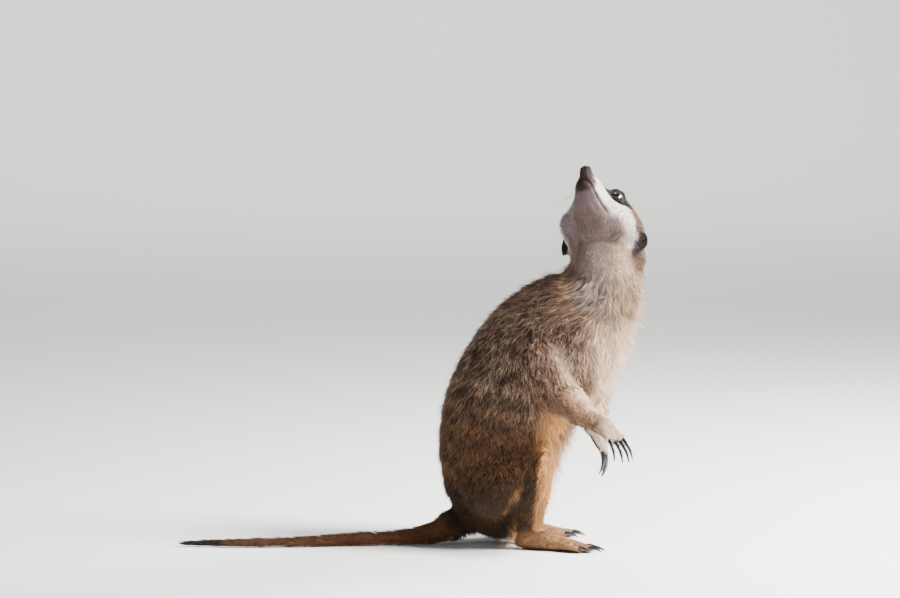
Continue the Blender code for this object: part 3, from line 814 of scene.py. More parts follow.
def pattern_map(thing, target=9000):
    """Unwraps a light copy of the skin, and gives each skin vertex its place on that unwrap."""
    light = placed("pattern", thing.data.copy())
    modified(light, "DECIMATE", ratio=min(1.0, target / len(light.data.polygons)))
    bpy.ops.object.select_all(action="DESELECT")
    light.select_set(True)
    bpy.context.view_layer.objects.active = light
    bpy.ops.object.mode_set(mode="EDIT")
    bpy.ops.mesh.select_all(action="SELECT")
    bpy.ops.uv.smart_project(angle_limit=math.radians(60.0), island_margin=0.004)
    bpy.ops.object.mode_set(mode="OBJECT")
    rows = triangles(light.data)
    loops = np.empty(len(light.data.loop_triangles) * 3, np.int32)
    light.data.loop_triangles.foreach_get("loops", loops)
    loops = loops.reshape(-1, 3)
    corner_uv = np.empty(len(light.data.loops) * 2, np.float32)
    light.data.uv_layers.active.data.foreach_get("uv", corner_uv)
    corner_uv = corner_uv.reshape(-1, 2)
    points = positions(light.data)
    tree = surface_tree(points, rows)
    targets = positions(thing.data)
    face = np.zeros(len(targets), int)
    at = np.zeros((len(targets), 3))
    for row, point in enumerate(targets):
        hit = tree.find_nearest(point)
        face[row] = hit[2]
        at[row] = hit[0]
    a, b, c = (points[rows[face][:, i]] for i in range(3))
    whole = np.linalg.norm(np.cross(b - a, c - a), axis=1) + 1e-18
    w0 = np.linalg.norm(np.cross(b - at, c - at), axis=1) / whole
    w1 = np.linalg.norm(np.cross(c - at, a - at), axis=1) / whole
    w2 = np.clip(1.0 - w0 - w1, 0.0, 1.0)
    uv = corner_uv[loops[face]]
    bpy.data.objects.remove(light)
    return uv[:, 0] * w0[:, None] + uv[:, 1] * w1[:, None] + uv[:, 2] * w2[:, None]


# ================================================================ markings
def paw_faces(points, normals, owner):
    """Where the bare pads of the palms and soles are."""
    bare = np.zeros(len(points))
    for index, name in enumerate(FLESH):
        mine = owner == index
        if part_of(name) == "hand":
            side = name[-1]
            claws = [middle(f"fore_claw_{side}{finger}") for finger in (1, 2, 3, 4)]
            reach = unit(claws[1] + claws[2] - 2 * middle(name))
            across = unit(claws[3] - claws[0])
            palm = unit(np.cross(reach, across))
            away = TORSO.facing(np.array([middle(name)[2]]))[0] + UP
            palm = palm if palm @ away < 0 else -palm
            level = normals[mine] @ palm
            tips = (points[mine] - middle(name)) @ reach
            bare[mine] = ramp(0.35, 0.75, level) * ramp(-0.008, -0.004, tips)
            bare[mine] = np.maximum(bare[mine], ramp(0.0085, 0.0105, tips))
        elif part_of(name) == "foot":
            bare[mine] = ramp(-0.55, -0.85, normals[mine][:, 2])
    return bare


class Places:
    """What the markings go by at each vertex: heights, directions, the head's axes and mottling."""

    def __init__(self, points, normals, parts):
        self.points, self.normals, self.count = points, normals, len(points)
        self.part = {name: parts[:, i] for i, name in enumerate(PARTS)}
        self.height = points[:, 2] / MM
        self.front = TORSO.front(points)
        self.leftward = TORSO.leftward(points) / MM
        self.facing = np.sum(normals * TORSO.facing(points[:, 2]), 1)
        self.patchy = waviness(points, 0.022, 3)
        self.fine = waviness(points, 0.007, 4)
        self.head = HEAD.measure(points).T

    def filled(self, tint):
        """One colour for every vertex."""
        return np.tile(tint, (self.count, 1))


def trunk_tint(at, shade):
    """Trunk and neck: grizzled back with dark bands, warmer hips darker towards the ground with
    painted shade, golden belly with a painted shadow behind the elbow and a pale front line that is
    partly painted rim light, cream chest, and a mauve throat, with cream reaching far up its lit
    left side (painted light) and tan on its shaded right side (painted shade).  Also where the
    belly, bands, chest and throat lie."""
    height, front, patchy, left = at.height, at.front, at.patchy, at.leftward
    tint = at.filled(shade["grey_back"])
    tint = blend(tint, shade["back_dark"], ramp(0.0, -0.7, front + 0.1 * patchy) * 0.55)
    tint = blend(tint, shade["hip"], ramp(128.0, 74.0, height + 9.0 * patchy) * 0.95)
    bands = 0.5 + 0.5 * np.sin(2.0 * math.pi * (height + 3.5 * patchy + 2.0 * front) / 14.5)
    banded = ramp(0.40, 0.85, bands) * ramp(0.45, -0.15, front) * ramp(30.0, 55.0, height)
    banded *= ramp(158.0, 128.0, height) * (0.8 + 0.2 * at.fine)
    banded = np.clip(banded, 0.0, 1.0)
    tint = blend(tint, shade["band"], banded * 0.9)
    # Painted shade: the trunk darker towards the ground, as the low hips lie in shade.
    tint = blend(tint, shade["hip"] * 0.36, ramp(66.0, 40.0, height + 6.0 * patchy) * 0.9)
    gilded = front + 0.06 * patchy
    gold_from = np.interp(height, [40.0, 60.0, 75.0, 97.0, 112.0], [0.35, 0.42, 0.42, 0.30, 0.62])
    belly = ramp(gold_from, gold_from + 0.26, gilded) * ramp(118.0, 104.0, height)
    tint = blend(tint, shade["gold"], belly * 0.9)
    # Painted shadow: the belly behind the elbow darkened to brown, as in the arm's shade.
    fold = ramp(0.74, 0.84, gilded) * ramp(110.0, 100.0, height) * ramp(70.0, 80.0, height)
    tint = blend(tint, shade["hip"] * 1.5, fold * 0.75)
    # Pale belly along the very front: partly its own pale gold, partly painted rim light.
    tint = blend(tint, shade["belly"], ramp(0.88, 0.98, gilded) * ramp(122.0, 104.0, height))
    # Painted light and shade on the neck: the cream reaches further round the lit left side and
    # stops short on the shaded right side.
    levels = [100.0, 121.0, 137.0, 148.0, 160.0, 175.0]
    lit_left_reach = np.interp(height, levels, [0.80, 0.78, 0.74, 0.62, 0.30, 0.10])
    shaded_right_reach = np.interp(height, levels, [0.80, 0.80, 0.82, 0.88, 0.97, 1.05])
    lit_left_side = ramp(-6.0, 6.0, left)
    pale_from = shaded_right_reach + (lit_left_reach - shaded_right_reach) * lit_left_side
    chest = ramp(pale_from - 0.10, pale_from + 0.07, front + 0.05 * patchy)
    chest *= ramp(94.0, 112.0, height)
    tint = blend(tint, shade["chest"], chest)
    nape = ramp(0.42, -0.05, front + 0.16 * patchy) * ramp(152.0, 170.0, height)
    tint = blend(tint, shade["crown"] * 0.9, nape * 0.7)
    # Painted shade: tan on the shaded right side of the neck.
    flank = ramp(0.15, 0.65, front + 0.1 * patchy) * ramp(148.0, 162.0, height) * (1.0 - lit_left_side)
    tint = blend(tint, shade["arm"] * 0.85, flank * 0.8)
    far_side = ramp(6.0, 14.0, left + 3.0 * patchy) * ramp(114.0, 130.0, height)
    tint = blend(tint, shade["arm"] * 0.75, far_side * chest * 0.75)
    narrow = np.interp(height, [150.0, 160.0, 170.0, 180.0], [1.02, 0.985, 0.95, 0.86])
    throat = ramp(narrow - 0.05, narrow + 0.05, front + 0.02 * patchy) * ramp(150.0, 160.0, height)
    tint = blend(tint, shade["throat"], throat * 0.92)
    lines = hump(np.abs(at.head[1] + 1.0), 6.0, 1.0) + hump(at.head[1], 1.0, 0.8)
    tint = blend(tint, shade["cheek"] * 0.9, np.clip(lines, 0.0, 1.0) * throat * 0.35)
    return tint, belly, banded, chest, throat


def leg_tints(at, shade, belly):
    """Thighs and shanks, tawny and golden in front and darker towards the ground with painted shade,
    then feet.  Also where they are golden.
    """
    height = at.height
    leg = at.filled(shade["hip"])
    # Painted shade: the legs darker towards the ground.
    leg = blend(leg, shade["hip"] * 0.36, ramp(66.0, 40.0, height + 6.0 * at.patchy) * 0.9)
    golden = ramp(-0.02, 0.66, at.facing + 0.12 * at.patchy)
    golden = np.maximum(golden, belly * ramp(60.0, 76.0, height))
    leg = blend(leg, shade["gold"], golden * 0.95)
    # Painted shade: the low backs of the legs near black, the low fronts a darker gold.
    leg = blend(leg, shade["gold"] * 0.09, ramp(44.0, 22.0, height) * ramp(0.6, 0.2, golden) * 0.7)
    leg = blend(leg, shade["gold"] * 0.5, ramp(44.0, 28.0, height) * golden * 0.8)
    return leg, blend(leg, shade["foot"], ramp(16.0, 7.0, height)), golden


def tail_tint(at, shade):
    """Tail: rusty, darker above, with a dark tip."""
    tint = at.filled(shade["tail"]) * (1.0 + 0.12 * at.patchy[:, None])
    tint = blend(tint, shade["tail"] * 0.62, ramp(0.3, 0.9, at.normals[:, 2]) * 0.6)
    reach = (at.points[:, 0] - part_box("tail_tip")[0][0]) / MM
    return blend(tint, shade["tail_end"], ramp(46.0, 22.0, reach + 3.0 * at.fine))


def arm_tints(at, shade):
    """Upper arms, grizzled like the flank, then forearms, cream along the front and tan below."""
    upper = at.filled(shade["grey_back"] * 1.15)
    upper = blend(upper, shade["chest"], ramp(0.35, 0.8, at.facing + 0.15 * at.patchy) * 0.9)
    arm = at.filled(shade["arm"])
    arm = blend(arm, shade["chest"], ramp(0.15, 0.7, at.facing + 0.35 * at.normals[:, 2]))
    arm = blend(arm, shade["grey_back"] * 1.2, ramp(0.0, -0.7, at.facing) * 0.6)
    return upper, arm


def head_tint(at, shade, eyes):
    """Head: pale cheeks, mauve jaw and throat with painted shade under the jaw and on the shaded
    right cheek, brown crown, dark eye patches, lips and nose.  Also where the crown, eye patches,
    mouth and nose lie."""
    a, b, c = at.head
    side, fine = np.abs(b), at.fine
    # cheeks, underside of the jaw and throat, with painted shade under the jaw and on the right
    # cheek, and painted light on the left side
    tint = at.filled(shade["cheek"])
    tint = blend(tint, shade["throat"], ramp(-5.5, -12.5, c + 0.8 * fine))
    wide = np.interp(a, [16.0, 28.0, 40.0, 52.0], [9.0, 11.0, 8.0, 7.0])
    # Painted shade: the underside of the jaw, partly its own mauve grey, partly darkened as in
    # shade.
    under = ramp(wide + 2.5, wide - 3.0, side) * ramp(-6.0, -9.0, c) * ramp(15.0, 23.0, a)
    tint = blend(tint, shade["jaw"], under)
    # Painted light: the pale patch below the ear stronger on the lit left side than on the shaded
    # right.
    pale = ramp(10.0, 18.0, side) * ramp(14.0, 3.0, a) * ramp(-6.0, -12.0, c)
    tint = blend(tint, shade["chest"] * 0.8, pale * np.where(b > 0, 0.8, 0.35))
    stripes = hump(side, 8.0, 1.8) * ramp(-13.0, -16.0, c) * ramp(20.0, 12.0, a)
    tint = blend(tint, shade["jaw"], stripes * 0.45)
    # Painted shade: the underside of the chin darker and bluer.
    painted_shade_blue = np.array([0.86, 0.95, 1.16])
    tint = blend(tint, shade["jaw"] * painted_shade_blue, ramp(33.0, 40.0, a) * ramp(-6.0, -9.0, c) * 0.6)
    # Painted shade: the right cheek, turned from the light, darker and bluer.
    shaded_right_cheek = ramp(-8.0, -15.0, b) * ramp(10.0, 18.0, a) * ramp(-2.0, -7.0, c)
    tint = blend(tint, shade["throat"] * (1.0, 1.12, 1.35), shaded_right_cheek * 0.7)
    # chin, muzzle, crown and brows
    chin = ramp(44.0, 47.5, a) * ramp(-1.0, -3.0, c) * ramp(8.5, 6.5, side)
    tint = blend(tint, shade["lip_dark"], chin * 0.97)
    tint = blend(tint, shade["muzzle"], ramp(2.0, 6.5, c) * ramp(30.0, 36.0, a) * 0.85)
    tint = blend(tint, shade["muzzle"] * 1.2, ramp(46.0, 51.5, a) * ramp(-4.0, -2.0, c) * 0.9)
    crown_from = np.interp(a, [-14.0, 0.0, 12.0, 19.0, 25.0, 32.0, 38.0],
                           [-14.0, -4.5, 0.0, 1.8, 5.0, 8.0, 9.0])
    crown = ramp(-1.5, 1.5, c - crown_from + 0.8 * fine) * ramp(42.0, 34.0, a)
    tint = blend(tint, shade["crown"], crown)
    tint = blend(tint, shade["grey_back"], ramp(4.0, -10.0, a) * ramp(2.0, 8.0, c) * 0.7)
    brow = hump(c, 14.0, 1.4) * hump(a, 28.0, 6.0) * ramp(5.0, 8.0, side)
    tint = blend(tint, shade["cheek"], np.clip(brow, 0.0, 1.0) * 0.75)
    # dark patches round the eyes
    dark = np.zeros(at.count)
    for eye in eyes:
        x, y, z = (v / MM for v in eye.measure(at.points))
        reach = np.where(x > 0, x / 13.5, x / 11.0)
        tall = np.where(y > 0, 8.3 - 0.1 * x, 6.0)
        patch = ramp(1.12, 0.86, np.abs(y) / tall + reach ** 2 * 0.9) * ramp(-1.0, 0.5, z)
        dark = np.maximum(dark, patch)
    tint = blend(tint, shade["eye_patch"], dark)
    # brown and shadow under the ears
    below_ear = hump(a, -8.0, 6.5) * hump(c, -9.0, 7.0) * ramp(21.5, 24.5, side)
    tint = blend(tint, shade["crown"], np.clip(below_ear * 1.4, 0.0, 1.0) * 0.9)
    shadow = hump(a, -1.5, 4.0) * hump(c, -10.0, 4.5) * ramp(21.0, 23.5, side)
    tint = blend(tint, shade["lip_dark"], np.clip(shadow * 1.3, 0.0, 1.0) * 0.9)
    # lips, the line between them, and the nose pad
    line = np.interp(a, *MOUTH_LINE)
    lip = ramp(-0.8, 0.4, c - line) * ramp(6.2, 4.2, c - line) * ramp(43.5, 48.0, a)
    lip *= ramp(7.0, 5.2, side)
    tint = blend(tint, shade["lip_dark"], lip * 0.92)
    tint = blend(tint, shade["jaw"], hump(c, line + 0.3, 1.5) * ramp(27.0, 33.0, a) * 0.75)
    mouth = hump(c, line, 0.6) * ramp(27.0, 32.0, a)
    tint = blend(tint, shade["lip_dark"], mouth * 0.8)
    front_lip = ramp(47.5, 49.5, a) * ramp(5.4, 4.0, side) * ramp(3.5, 1.5, c)
    tint = blend(tint, shade["lip_dark"] * 0.8, front_lip * 0.95)
    nose = ramp(52.6, 53.4, a + 0.2 * c) * ramp(-3.4, -2.4, c)
    tint = blend(tint, shade["pad"] * 1.2, nose)
    return tint, crown, dark, mouth, nose


def markings(mesh, at, owner, skin, colours, eyes):
    """Stores the colour of the coat at each vertex, how grizzled it is, and where skin is bare."""
    part, height = at.part, at.height
    shade = {key: np.array(getattr(colours, key)) for key in CoatColours.__annotations__}
    trunk, belly, banded, chest, throat = trunk_tint(at, shade)
    leg, foot, golden = leg_tints(at, shade, belly)
    tail = tail_tint(at, shade)
    upper, arm = arm_tints(at, shade)
    head, crown, dark, mouth, nose = head_tint(at, shade, eyes)
    a, b, c = at.head
    side = np.abs(b)
    ear = blend(head, shade["ear"], ramp(22.5, 24.5, side))
    total = np.zeros((at.count, 3))
    for name, tint in (("trunk", trunk), ("thigh", leg), ("shank", foot), ("foot", foot),
                       ("tail_base", tail * 1.35), ("tail_middle", tail), ("tail_tip", tail),
                       ("neck", trunk), ("upper_arm", upper), ("forearm", arm),
                       ("hand", shade["hand"]), ("head", head), ("lower_jaw", head),
                       ("nose", head), ("ear", ear)):
        total += tint * part[name][:, None]
    total = np.clip(total * (1.0 + 0.07 * at.fine[:, None]), 0.0, 1.0)

    plain = (1.0 - 0.85 * chest) * (1.0 - 0.8 * belly) * (1.0 - 0.95 * banded)
    grizzle = part["trunk"] * plain + part["thigh"] * (1.0 - golden)
    grizzle *= 0.25 + 0.75 * ramp(36.0, 64.0, height)
    grizzle += part["neck"] * (1.0 - throat) * (0.35 + 0.5 * ramp(0.5, -0.1, at.front))
    grizzle += 0.85 * part["upper_arm"]
    grizzle += 0.4 * part["forearm"] + 0.3 * (part["shank"] + part["tail_base"])
    flecked = hump(a, 9.0, 6.0) * hump(c, -7.0, 5.0) * ramp(13.0, 17.0, side)
    grizzle += part["head"] * (0.4 * crown + 0.5 * flecked)
    grizzle *= 1.0 - dark * part["head"]

    bare = paw_faces(at.points, at.normals, owner)
    bare = np.maximum(bare, nose * (part["head"] + part["nose"]))
    for eye in eyes:
        gap = eye.opening(at.points, skin.opening_long, skin.opening_tall) * skin.opening_tall
        x, _, z = eye.measure(at.points)
        bare = np.maximum(bare, ramp(0.0009, 0.0004, gap) * (z > 0.0) * (np.abs(x) < 0.006))
    total = blend(total, shade["pad"], bare)
    low = ramp(128.0, 82.0, height + 6.0 * at.patchy)
    tick = blend(at.filled(shade["tick"]), shade["tawny"], low)
    tick = blend(tick, shade["tawny"] * 0.5, ramp(62.0, 42.0, height))
    under_chin = ramp(-9.0, -14.0, c) * ramp(18.0, 12.0, side) * ramp(34.0, 26.0, a)
    throat = np.clip(throat * part["neck"] + under_chin * part["head"], 0.0, 1.0)
    put_values(mesh, "throat", throat)
    put_values(mesh, "marking", with_alpha(total))
    put_values(mesh, "tick", with_alpha(tick))
    put_values(mesh, "grizzle", np.clip(grizzle, 0.0, 1.0))
    put_values(mesh, "bare", np.clip(bare + mouth * part["head"], 0.0, 1.0))


# ================================================================ materials
class Finish:
    """A node material in the making, which ends in one Principled shader with relief."""

    def __init__(self, name):
        self.material = bpy.data.materials.new(name)
        self.material.use_nodes = True
        self.tree = self.material.node_tree
        self.tree.nodes.clear()

    def add(self, kind, **settings):
        """A node.  A setting that is another node's socket is joined; the rest are filled in."""
        node = self.tree.nodes.new("ShaderNode" + kind)
        for key, value in settings.items():
            socket = node.inputs.get(key.replace("_", " "))
            if socket is None:
                setattr(node, key, value)
            elif isinstance(value, bpy.types.NodeSocket):
                self.tree.links.new(value, socket)
            else:
                socket.default_value = value
        return node

    def stored(self, name):
        """A value or colour that the mesh holds."""
        return self.add("Attribute", attribute_name=name).outputs

    def textures(self, *noises, cells=None):
        """Noises in the object's own space, each of a scale, detail and roughness, and cells."""
        place = self.add("TexCoord").outputs["Object"]
        made = []
        for scale, detail, rough in noises:
            noise = self.add("TexNoise", Vector=place, Scale=scale, Detail=detail, Roughness=rough)
            made.append(noise.outputs["Fac"])
        if cells:
            made.append(self.add("TexVoronoi", Vector=place, Scale=cells).outputs["Distance"])
        return made

    def between(self, socket, low, high):
        """A value spread between two others."""
        return self.add("MapRange", Value=socket, To_Min=low, To_Max=high).outputs["Result"]

    def varied(self, tint, noise, low, high):
        """A colour made darker and lighter by a noise."""
        scaled = self.add("VectorMath", operation="SCALE", Scale=self.between(noise, low, high))
        self.tree.links.new(tint, scaled.inputs[0])
        return scaled.outputs["Vector"]

    def mixed(self, kind, amount, first, second):
        """Two values or colours mixed by an amount."""
        return self.add("Mix", data_type=kind, Factor=amount, A=first, B=second).outputs["Result"]

    def finished(self, base, rough, height, strength, distance, **fixed):
        """Joins colour, roughness and height to the shader, and gives back the material."""
        bump = self.add("Bump", Strength=strength, Distance=distance, Height=height)
        shader = self.add("BsdfPrincipled", Base_Color=base, Roughness=rough,
                          Normal=bump.outputs["Normal"], **fixed)
        self.add("OutputMaterial", Surface=shader.outputs["BSDF"])
        return self.material


def coat_material():
    """Hair: the tuft's own colour, mottled, with strand-fine relief and a soft sheen."""
    hair = Finish("coat_hair")
    mottle, strands = hair.textures((420.0, 3.0, 0.6), (2600.0, 2.0, 0.5))
    base = hair.varied(hair.stored("coat_colour")["Color"], mottle, 0.72, 1.28)
    return hair.finished(base, hair.between(strands, 0.48, 0.68), strands, 0.35, 0.0002,
                         Sheen_Weight=0.03, Sheen_Roughness=0.4, Specular_IOR_Level=0.22)


def skin_material():
    """Skin: the coat's own markings with fine hair relief, and bare, pebbled black pads."""
    skin = Finish("skin_with_short_hair")
    mottle, hair, pebble = skin.textures((600.0, 4.0, 0.6), (2400.0, 4.0, 0.7), cells=4200.0)
    bare = skin.stored("bare")["Fac"]
    base = skin.varied(skin.stored("marking")["Color"], mottle, 0.5, 1.3)
    relief = skin.mixed("FLOAT", bare, hair, skin.between(pebble, 0.42, 0.62))
    rough = skin.mixed("FLOAT", bare, skin.between(hair, 0.55, 0.8), 0.7)
    return skin.finished(base, rough, relief, 0.5, 0.00025, Specular_IOR_Level=0.1)


def claw_material(colours):
    """Horn: black with faint lengthwise streaks, worn paler towards the tip."""
    horn = Finish("claw_horn")
    grain, = horn.textures((1400.0, 3.0, 0.55))
    worn = (0.055, 0.048, 0.045, 1.0)
    tint = horn.mixed("RGBA", horn.stored("wear")["Fac"], (*colours.claw, 1.0), worn)
    return horn.finished(horn.varied(tint, grain, 0.6, 1.5), horn.between(grain, 0.16, 0.34), grain,
                         0.15, 0.0001, Coat_Weight=0.3, Coat_Roughness=0.15)


def eye_material():
    """Eye: dark iris with a black pupil and a wet, clear surface."""
    wet = Finish("wet_eye")
    fibres, = wet.textures((1800.0, 4.0, 0.6))
    base = wet.varied(wet.stored("eye_colour")["Color"], fibres, 0.5, 1.5)
    return wet.finished(base, wet.between(fibres, 0.06, 0.10), fibres, 0.02, 0.00005,
                        Coat_Weight=1.0, Coat_Roughness=0.03, Specular_IOR_Level=0.6)


def whisker_material():
    """Whiskers: stiff dark hairs, paler at the ends."""
    stiff = Finish("whisker_hair")
    grain, = stiff.textures((900.0, 2.0, 0.5))
    base = stiff.varied(stiff.stored("coat_colour")["Color"], grain, 0.7, 1.3)
    return stiff.finished(base, stiff.between(grain, 0.3, 0.45), grain, 0.1, 0.0001,
                          Specular_IOR_Level=0.5)


def floor_material(colour):
    """Floor: pale and matt, a little cloudy, with a fine grain."""
    pale = Finish("pale_floor")
    cloud, grain = pale.textures((3.0, 4.0, 0.5), (900.0, 2.0, 0.5))
    low, high = ((*[min(1.0, v * tone) for v in colour], 1.0) for tone in (0.97, 1.03))
    return pale.finished(pale.mixed("RGBA", cloud, low, high), pale.between(grain, 0.7, 0.9), grain,
                         0.05, 0.0002)


# ================================================================ the coat
def gathered(roots, tips, pull, rng):
    """Draws the tips of neighbouring tufts together into locks."""
    heads = rng.choice(len(roots), max(1, len(roots) // LOCK), replace=False)
    tree = KDTree(len(heads))
    for index, head in enumerate(heads):
        tree.insert(roots[head], index)
    tree.balance()
    nearest = np.array([heads[tree.find(root)[1]] for root in roots])
    return tips + (tips[nearest] - tips) * pull[:, None]


def grow(name, roots, normals, flows, uv, sizes, tints, seed):
    """One coat piece of closed tufts, each from its root on the skin to its tip in the coat."""
    rng = np.random.default_rng(seed)
    count, rings = len(roots), len(TUFT_RINGS)
    lengths, widths, rises, frizz, bow = sizes
    side = unit(np.cross(normals, flows))
    sway = rng.normal(0.0, 1.0, count) * frizz + 0.9 * frizz * waviness(roots, WAVE, seed + 1)
    flows = unit(flows + side * sway[:, None])
    side = unit(np.cross(normals, flows))
    tips = roots + flows * lengths[:, None] + normals * rises[:, None]
    tips = gathered(roots, tips, rng.uniform(0.0, LOCK_PULL, count), rng)
    lean = rng.normal(0.0, 0.04, count) * lengths * (1.0 + 2.0 * frizz)
    reach = tips - roots
    lift = np.sum(reach * normals, 1)
    along = reach - normals * lift[:, None]

    points = np.empty((count, 3 * rings + 1, 3))
    colours = np.ones((count, 3 * rings + 1, 4))
    patch = np.empty((3 * rings + 1, 2))
    for ring, (t, girth) in enumerate(TUFT_RINGS):
        own = slice(3 * ring, 3 * ring + 3)
        height = lift * (1.0 - (1.0 - t) ** bow) - ROOT_SINK * (1.0 - t)
        centre = roots + along * t + normals * height[:, None]
        centre = centre + side * (lean * t * (1.0 - t) * 4)[:, None]
        half = side * (widths * girth * 0.5)[:, None]
        ridge = normals * (widths * girth * RIDGE)[:, None]
        points[:, own] = np.stack([centre - half, centre + half, centre + ridge], 1)
        colours[:, own, :3] = tint_at(tints, t)[:, None, :]
        patch[own] = [[-0.5, t - 0.5], [0.5, t - 0.5], [0.0, t - 0.5]]
    points[:, -1] = tips
    colours[:, -1, :3] = tint_at(tints, 1.0)
    patch[-1] = [0.0, 0.5]
    points[..., 2] = np.maximum(points[..., 2], COAT_FLOOR)

    corners, face_sizes = spike_faces(rings, 3)
    starts = np.arange(count) * (3 * rings + 1)
    all_corners = (starts[:, None] + corners[None]).ravel()
    piece = mesh_object(name, points.reshape(-1, 3), all_corners, np.tile(face_sizes, count))
    put_values(piece.data, "coat_colour", np.clip(colours, 0.0, 1.0).reshape(-1, 4))
    spread = np.clip(uv, PATCH, 1.0 - PATCH)[:, None, :] + patch[None] * PATCH
    layer = piece.data.uv_layers.new(name="OFBake")
    layer.data.foreach_set("uv", spread.reshape(-1, 2)[all_corners].astype(np.float32).ravel())
    return piece


def tint_at(tints, t):
    """Colour along a tuft: dark at the root, its own in the middle, dark or pale at the tip."""
    root, body, tip = tints
    if t < 0.5:
        return root + (body - root) * (t / 0.5)
    return body + (tip - body) * ((t - 0.5) / 0.5) ** 1.5


def choose_roots(points, rows, density, rng):
    """Scatters roots over the triangles: their faces and places within them."""
    a, b, c = (points[rows[:, i]] for i in range(3))
    area = np.linalg.norm(np.cross(b - a, c - a), axis=1) / 2.0 / MM ** 2
    wanted = area * density[rows].mean(1)
    faces = np.repeat(np.arange(len(rows)), rng.poisson(wanted))
    u, v = rng.random(len(faces)), rng.random(len(faces))
    over = u + v > 1.0
    u[over], v[over] = 1.0 - u[over], 1.0 - v[over]
    return faces, np.stack([1.0 - u - v, u, v], 1)


def covered(covers, skin, points, part):
    """Which vertices of the skin a coat piece covers."""
    inside = np.isin(part, [PARTS.index(word) for word in covers if word in PARTS])
    front, left = get_values(skin, "front") >= FLANK, get_values(skin, "leftward") >= 0.0
    high = points[:, 2] >= WAIST
    for word, where in (("front", front), ("back", ~front), ("left", left), ("right", ~left),
                        ("high", high), ("low", ~high)):
        if word in covers:
            inside &= where
    return inside


def coat_piece(name, sheet):
    """Grows one piece of the coat over its part of the skin."""
    slot, seed, covers = COAT_PIECES[name]
    rng = np.random.default_rng(seed)
    skin = bpy.data.objects[SKIN].data
    points, rows = positions(skin), triangles(skin)
    normals = get_values(skin, "outward")
    part = np.round(get_values(skin, "part")).astype(int)
    density = np.array([sheet.patches[p].density for p in PARTS])[part]
    density = density * covered(covers, skin, points, part) * (get_values(skin, "bare") < 0.5)
    density[(points[:, 2] < SOLE) & (normals[:, 2] < -0.5)] = 0.0
    faces, share_of = choose_roots(points, rows, density, rng)
    corner, count = rows[faces], len(faces)

    def at(values):
        return np.einsum("nk,nk...->n...", share_of, values[corner])

    # where the tufts stand and how they lie; some are short underfur, some are long guard hairs
    roots, up = at(points), unit(at(normals))
    way = at(get_values(skin, "flow"))
    way = unit(way - up * np.sum(way * up, 1)[:, None])
    depth, length, width = at(get_values(skin, "coat_sizes")).T
    frizz, front = at(get_values(skin, "frizz")), at(get_values(skin, "front"))
    under = rng.random(count) < UNDERFUR
    guard = ~under & (rng.random(count) < GUARD + GUARD_IN_FRONT * np.clip(front, 0.0, 1.0))
    length = length * np.where(under, rng.uniform(0.5, 0.8, count), rng.uniform(0.75, 1.15, count))
    length = length * np.where(guard, GUARD_LENGTH, 1.0)
    width = width * rng.uniform(0.65, 1.25, count)
    rise = depth * np.where(under, rng.uniform(0.3, 0.6, count), rng.uniform(0.55, 1.0, count))
    stand = at(get_values(skin, "stand")) * (0.7 + 0.8 * np.clip(front, -0.3, 1.0))
    rise = rise + guard * rng.random(count) * stand
    bow = np.where(guard, *BOWS)

    # colours of root, body and tip; grizzled tufts have dark roots, and dark or pale tips
    grey = at(get_values(skin, "grizzle"))
    body = at(get_values(skin, "marking")[:, :3])
    body = body * (1.0 + rng.uniform(-0.16, 0.16, count) * (1.0 + 1.8 * grey))[:, None]
    pale = rng.random(count) < 0.30 + 0.12 * grey + 0.22 * waviness(roots, 0.0045, seed + 9)
    pale = pale[:, None]
    tick = at(get_values(skin, "tick")[:, :3])
    tip = np.where(pale, blend(body * 1.15, tick, grey * 0.9), blend(body * 1.05, body * 0.4, grey))
    body = np.where(pale, blend(body, tick, grey * 0.45), body)
    root = body * (0.84 - 0.46 * grey)[:, None]
    uv = get_values(skin, "pattern")[corner[np.arange(count), share_of.argmax(1)]]

    tufts = [roots, up, way, uv, length, width, rise, frizz, bow, root, body, tip]
    if count > MOST_TUFTS:
        keep = np.sort(rng.choice(count, MOST_TUFTS, replace=False))
        tufts = [values[keep] for values in tufts]
    piece = grow(name, *tufts[:4], tufts[4:9], tufts[9:], seed + 100)
    piece.data.materials.append(bpy.data.materials.get("coat_hair") or coat_material())
    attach(piece, "root")


# ================================================================ the skin, from first to last
# Rounds of smoothing: seams between parts before and after the skin is thinned out, the body as a
# whole, the folds between its parts, and normals and depths.
SEAM_ROUNDS, LAST_SEAM_ROUNDS, BODY_ROUNDS, FOLD_ROUNDS, DEPTH_ROUNDS = 24, 12, 14, 70, 10


def sink_skin(thing, nearest, sheet):
    """Eases the joined solids into one body, lowers it by the coat's depth and thins it out."""
    points, rows = positions(thing.data), triangles(thing.data)
    smoother = Smoother(len(points), rows)
    _, parts = part_shares(points, smoother, nearest, SEAM_ROUNDS)
    small = np.clip(share_in(parts, "hand", "foot", "ear", "nose"), 0.0, 1.0)
    points = smoother.fair(points, BODY_ROUNDS, 0.5 * (1.0 - 0.8 * small))
    points = smoother.smooth(points, FOLD_ROUNDS, 0.5 * creases(parts, smoother, points))
    normals = unit(smoother.smooth(vertex_normals(points, rows), DEPTH_ROUNDS))
    depth = smoother.smooth(coat_depth(points, parts, sheet), DEPTH_ROUNDS)
    points = points - normals * depth[:, None]
    points = smoother.smooth(points, 2, 0.4 * (1.0 - small))
    put_positions(thing.data, points)
    keep = share_in(parts, "head", "lower_jaw", "nose", "ear", "hand")
    keep = np.clip(keep + 0.6 * share_in(parts, "foot"), 0.0, 1.0)
    thin_out(thing, keep, sheet.skin.faces)


def shape_face(thing, skin):
    """Carves the face and draws in the eyelids."""
    refine_face(thing, 0.0105)
    points, rows = positions(thing.data), triangles(thing.data)
    normals = vertex_normals(points, rows)
    eyes = [EyeFrame(name, points, normals) for name in EYES]
    points = carve_face(points, normals, skin)
    for eye in eyes:
        points = set_eyelids(points, eye, skin)
    points[:, 2] = np.maximum(points[:, 2], 0.0)
    put_positions(thing.data, points)
    return points, rows, eyes


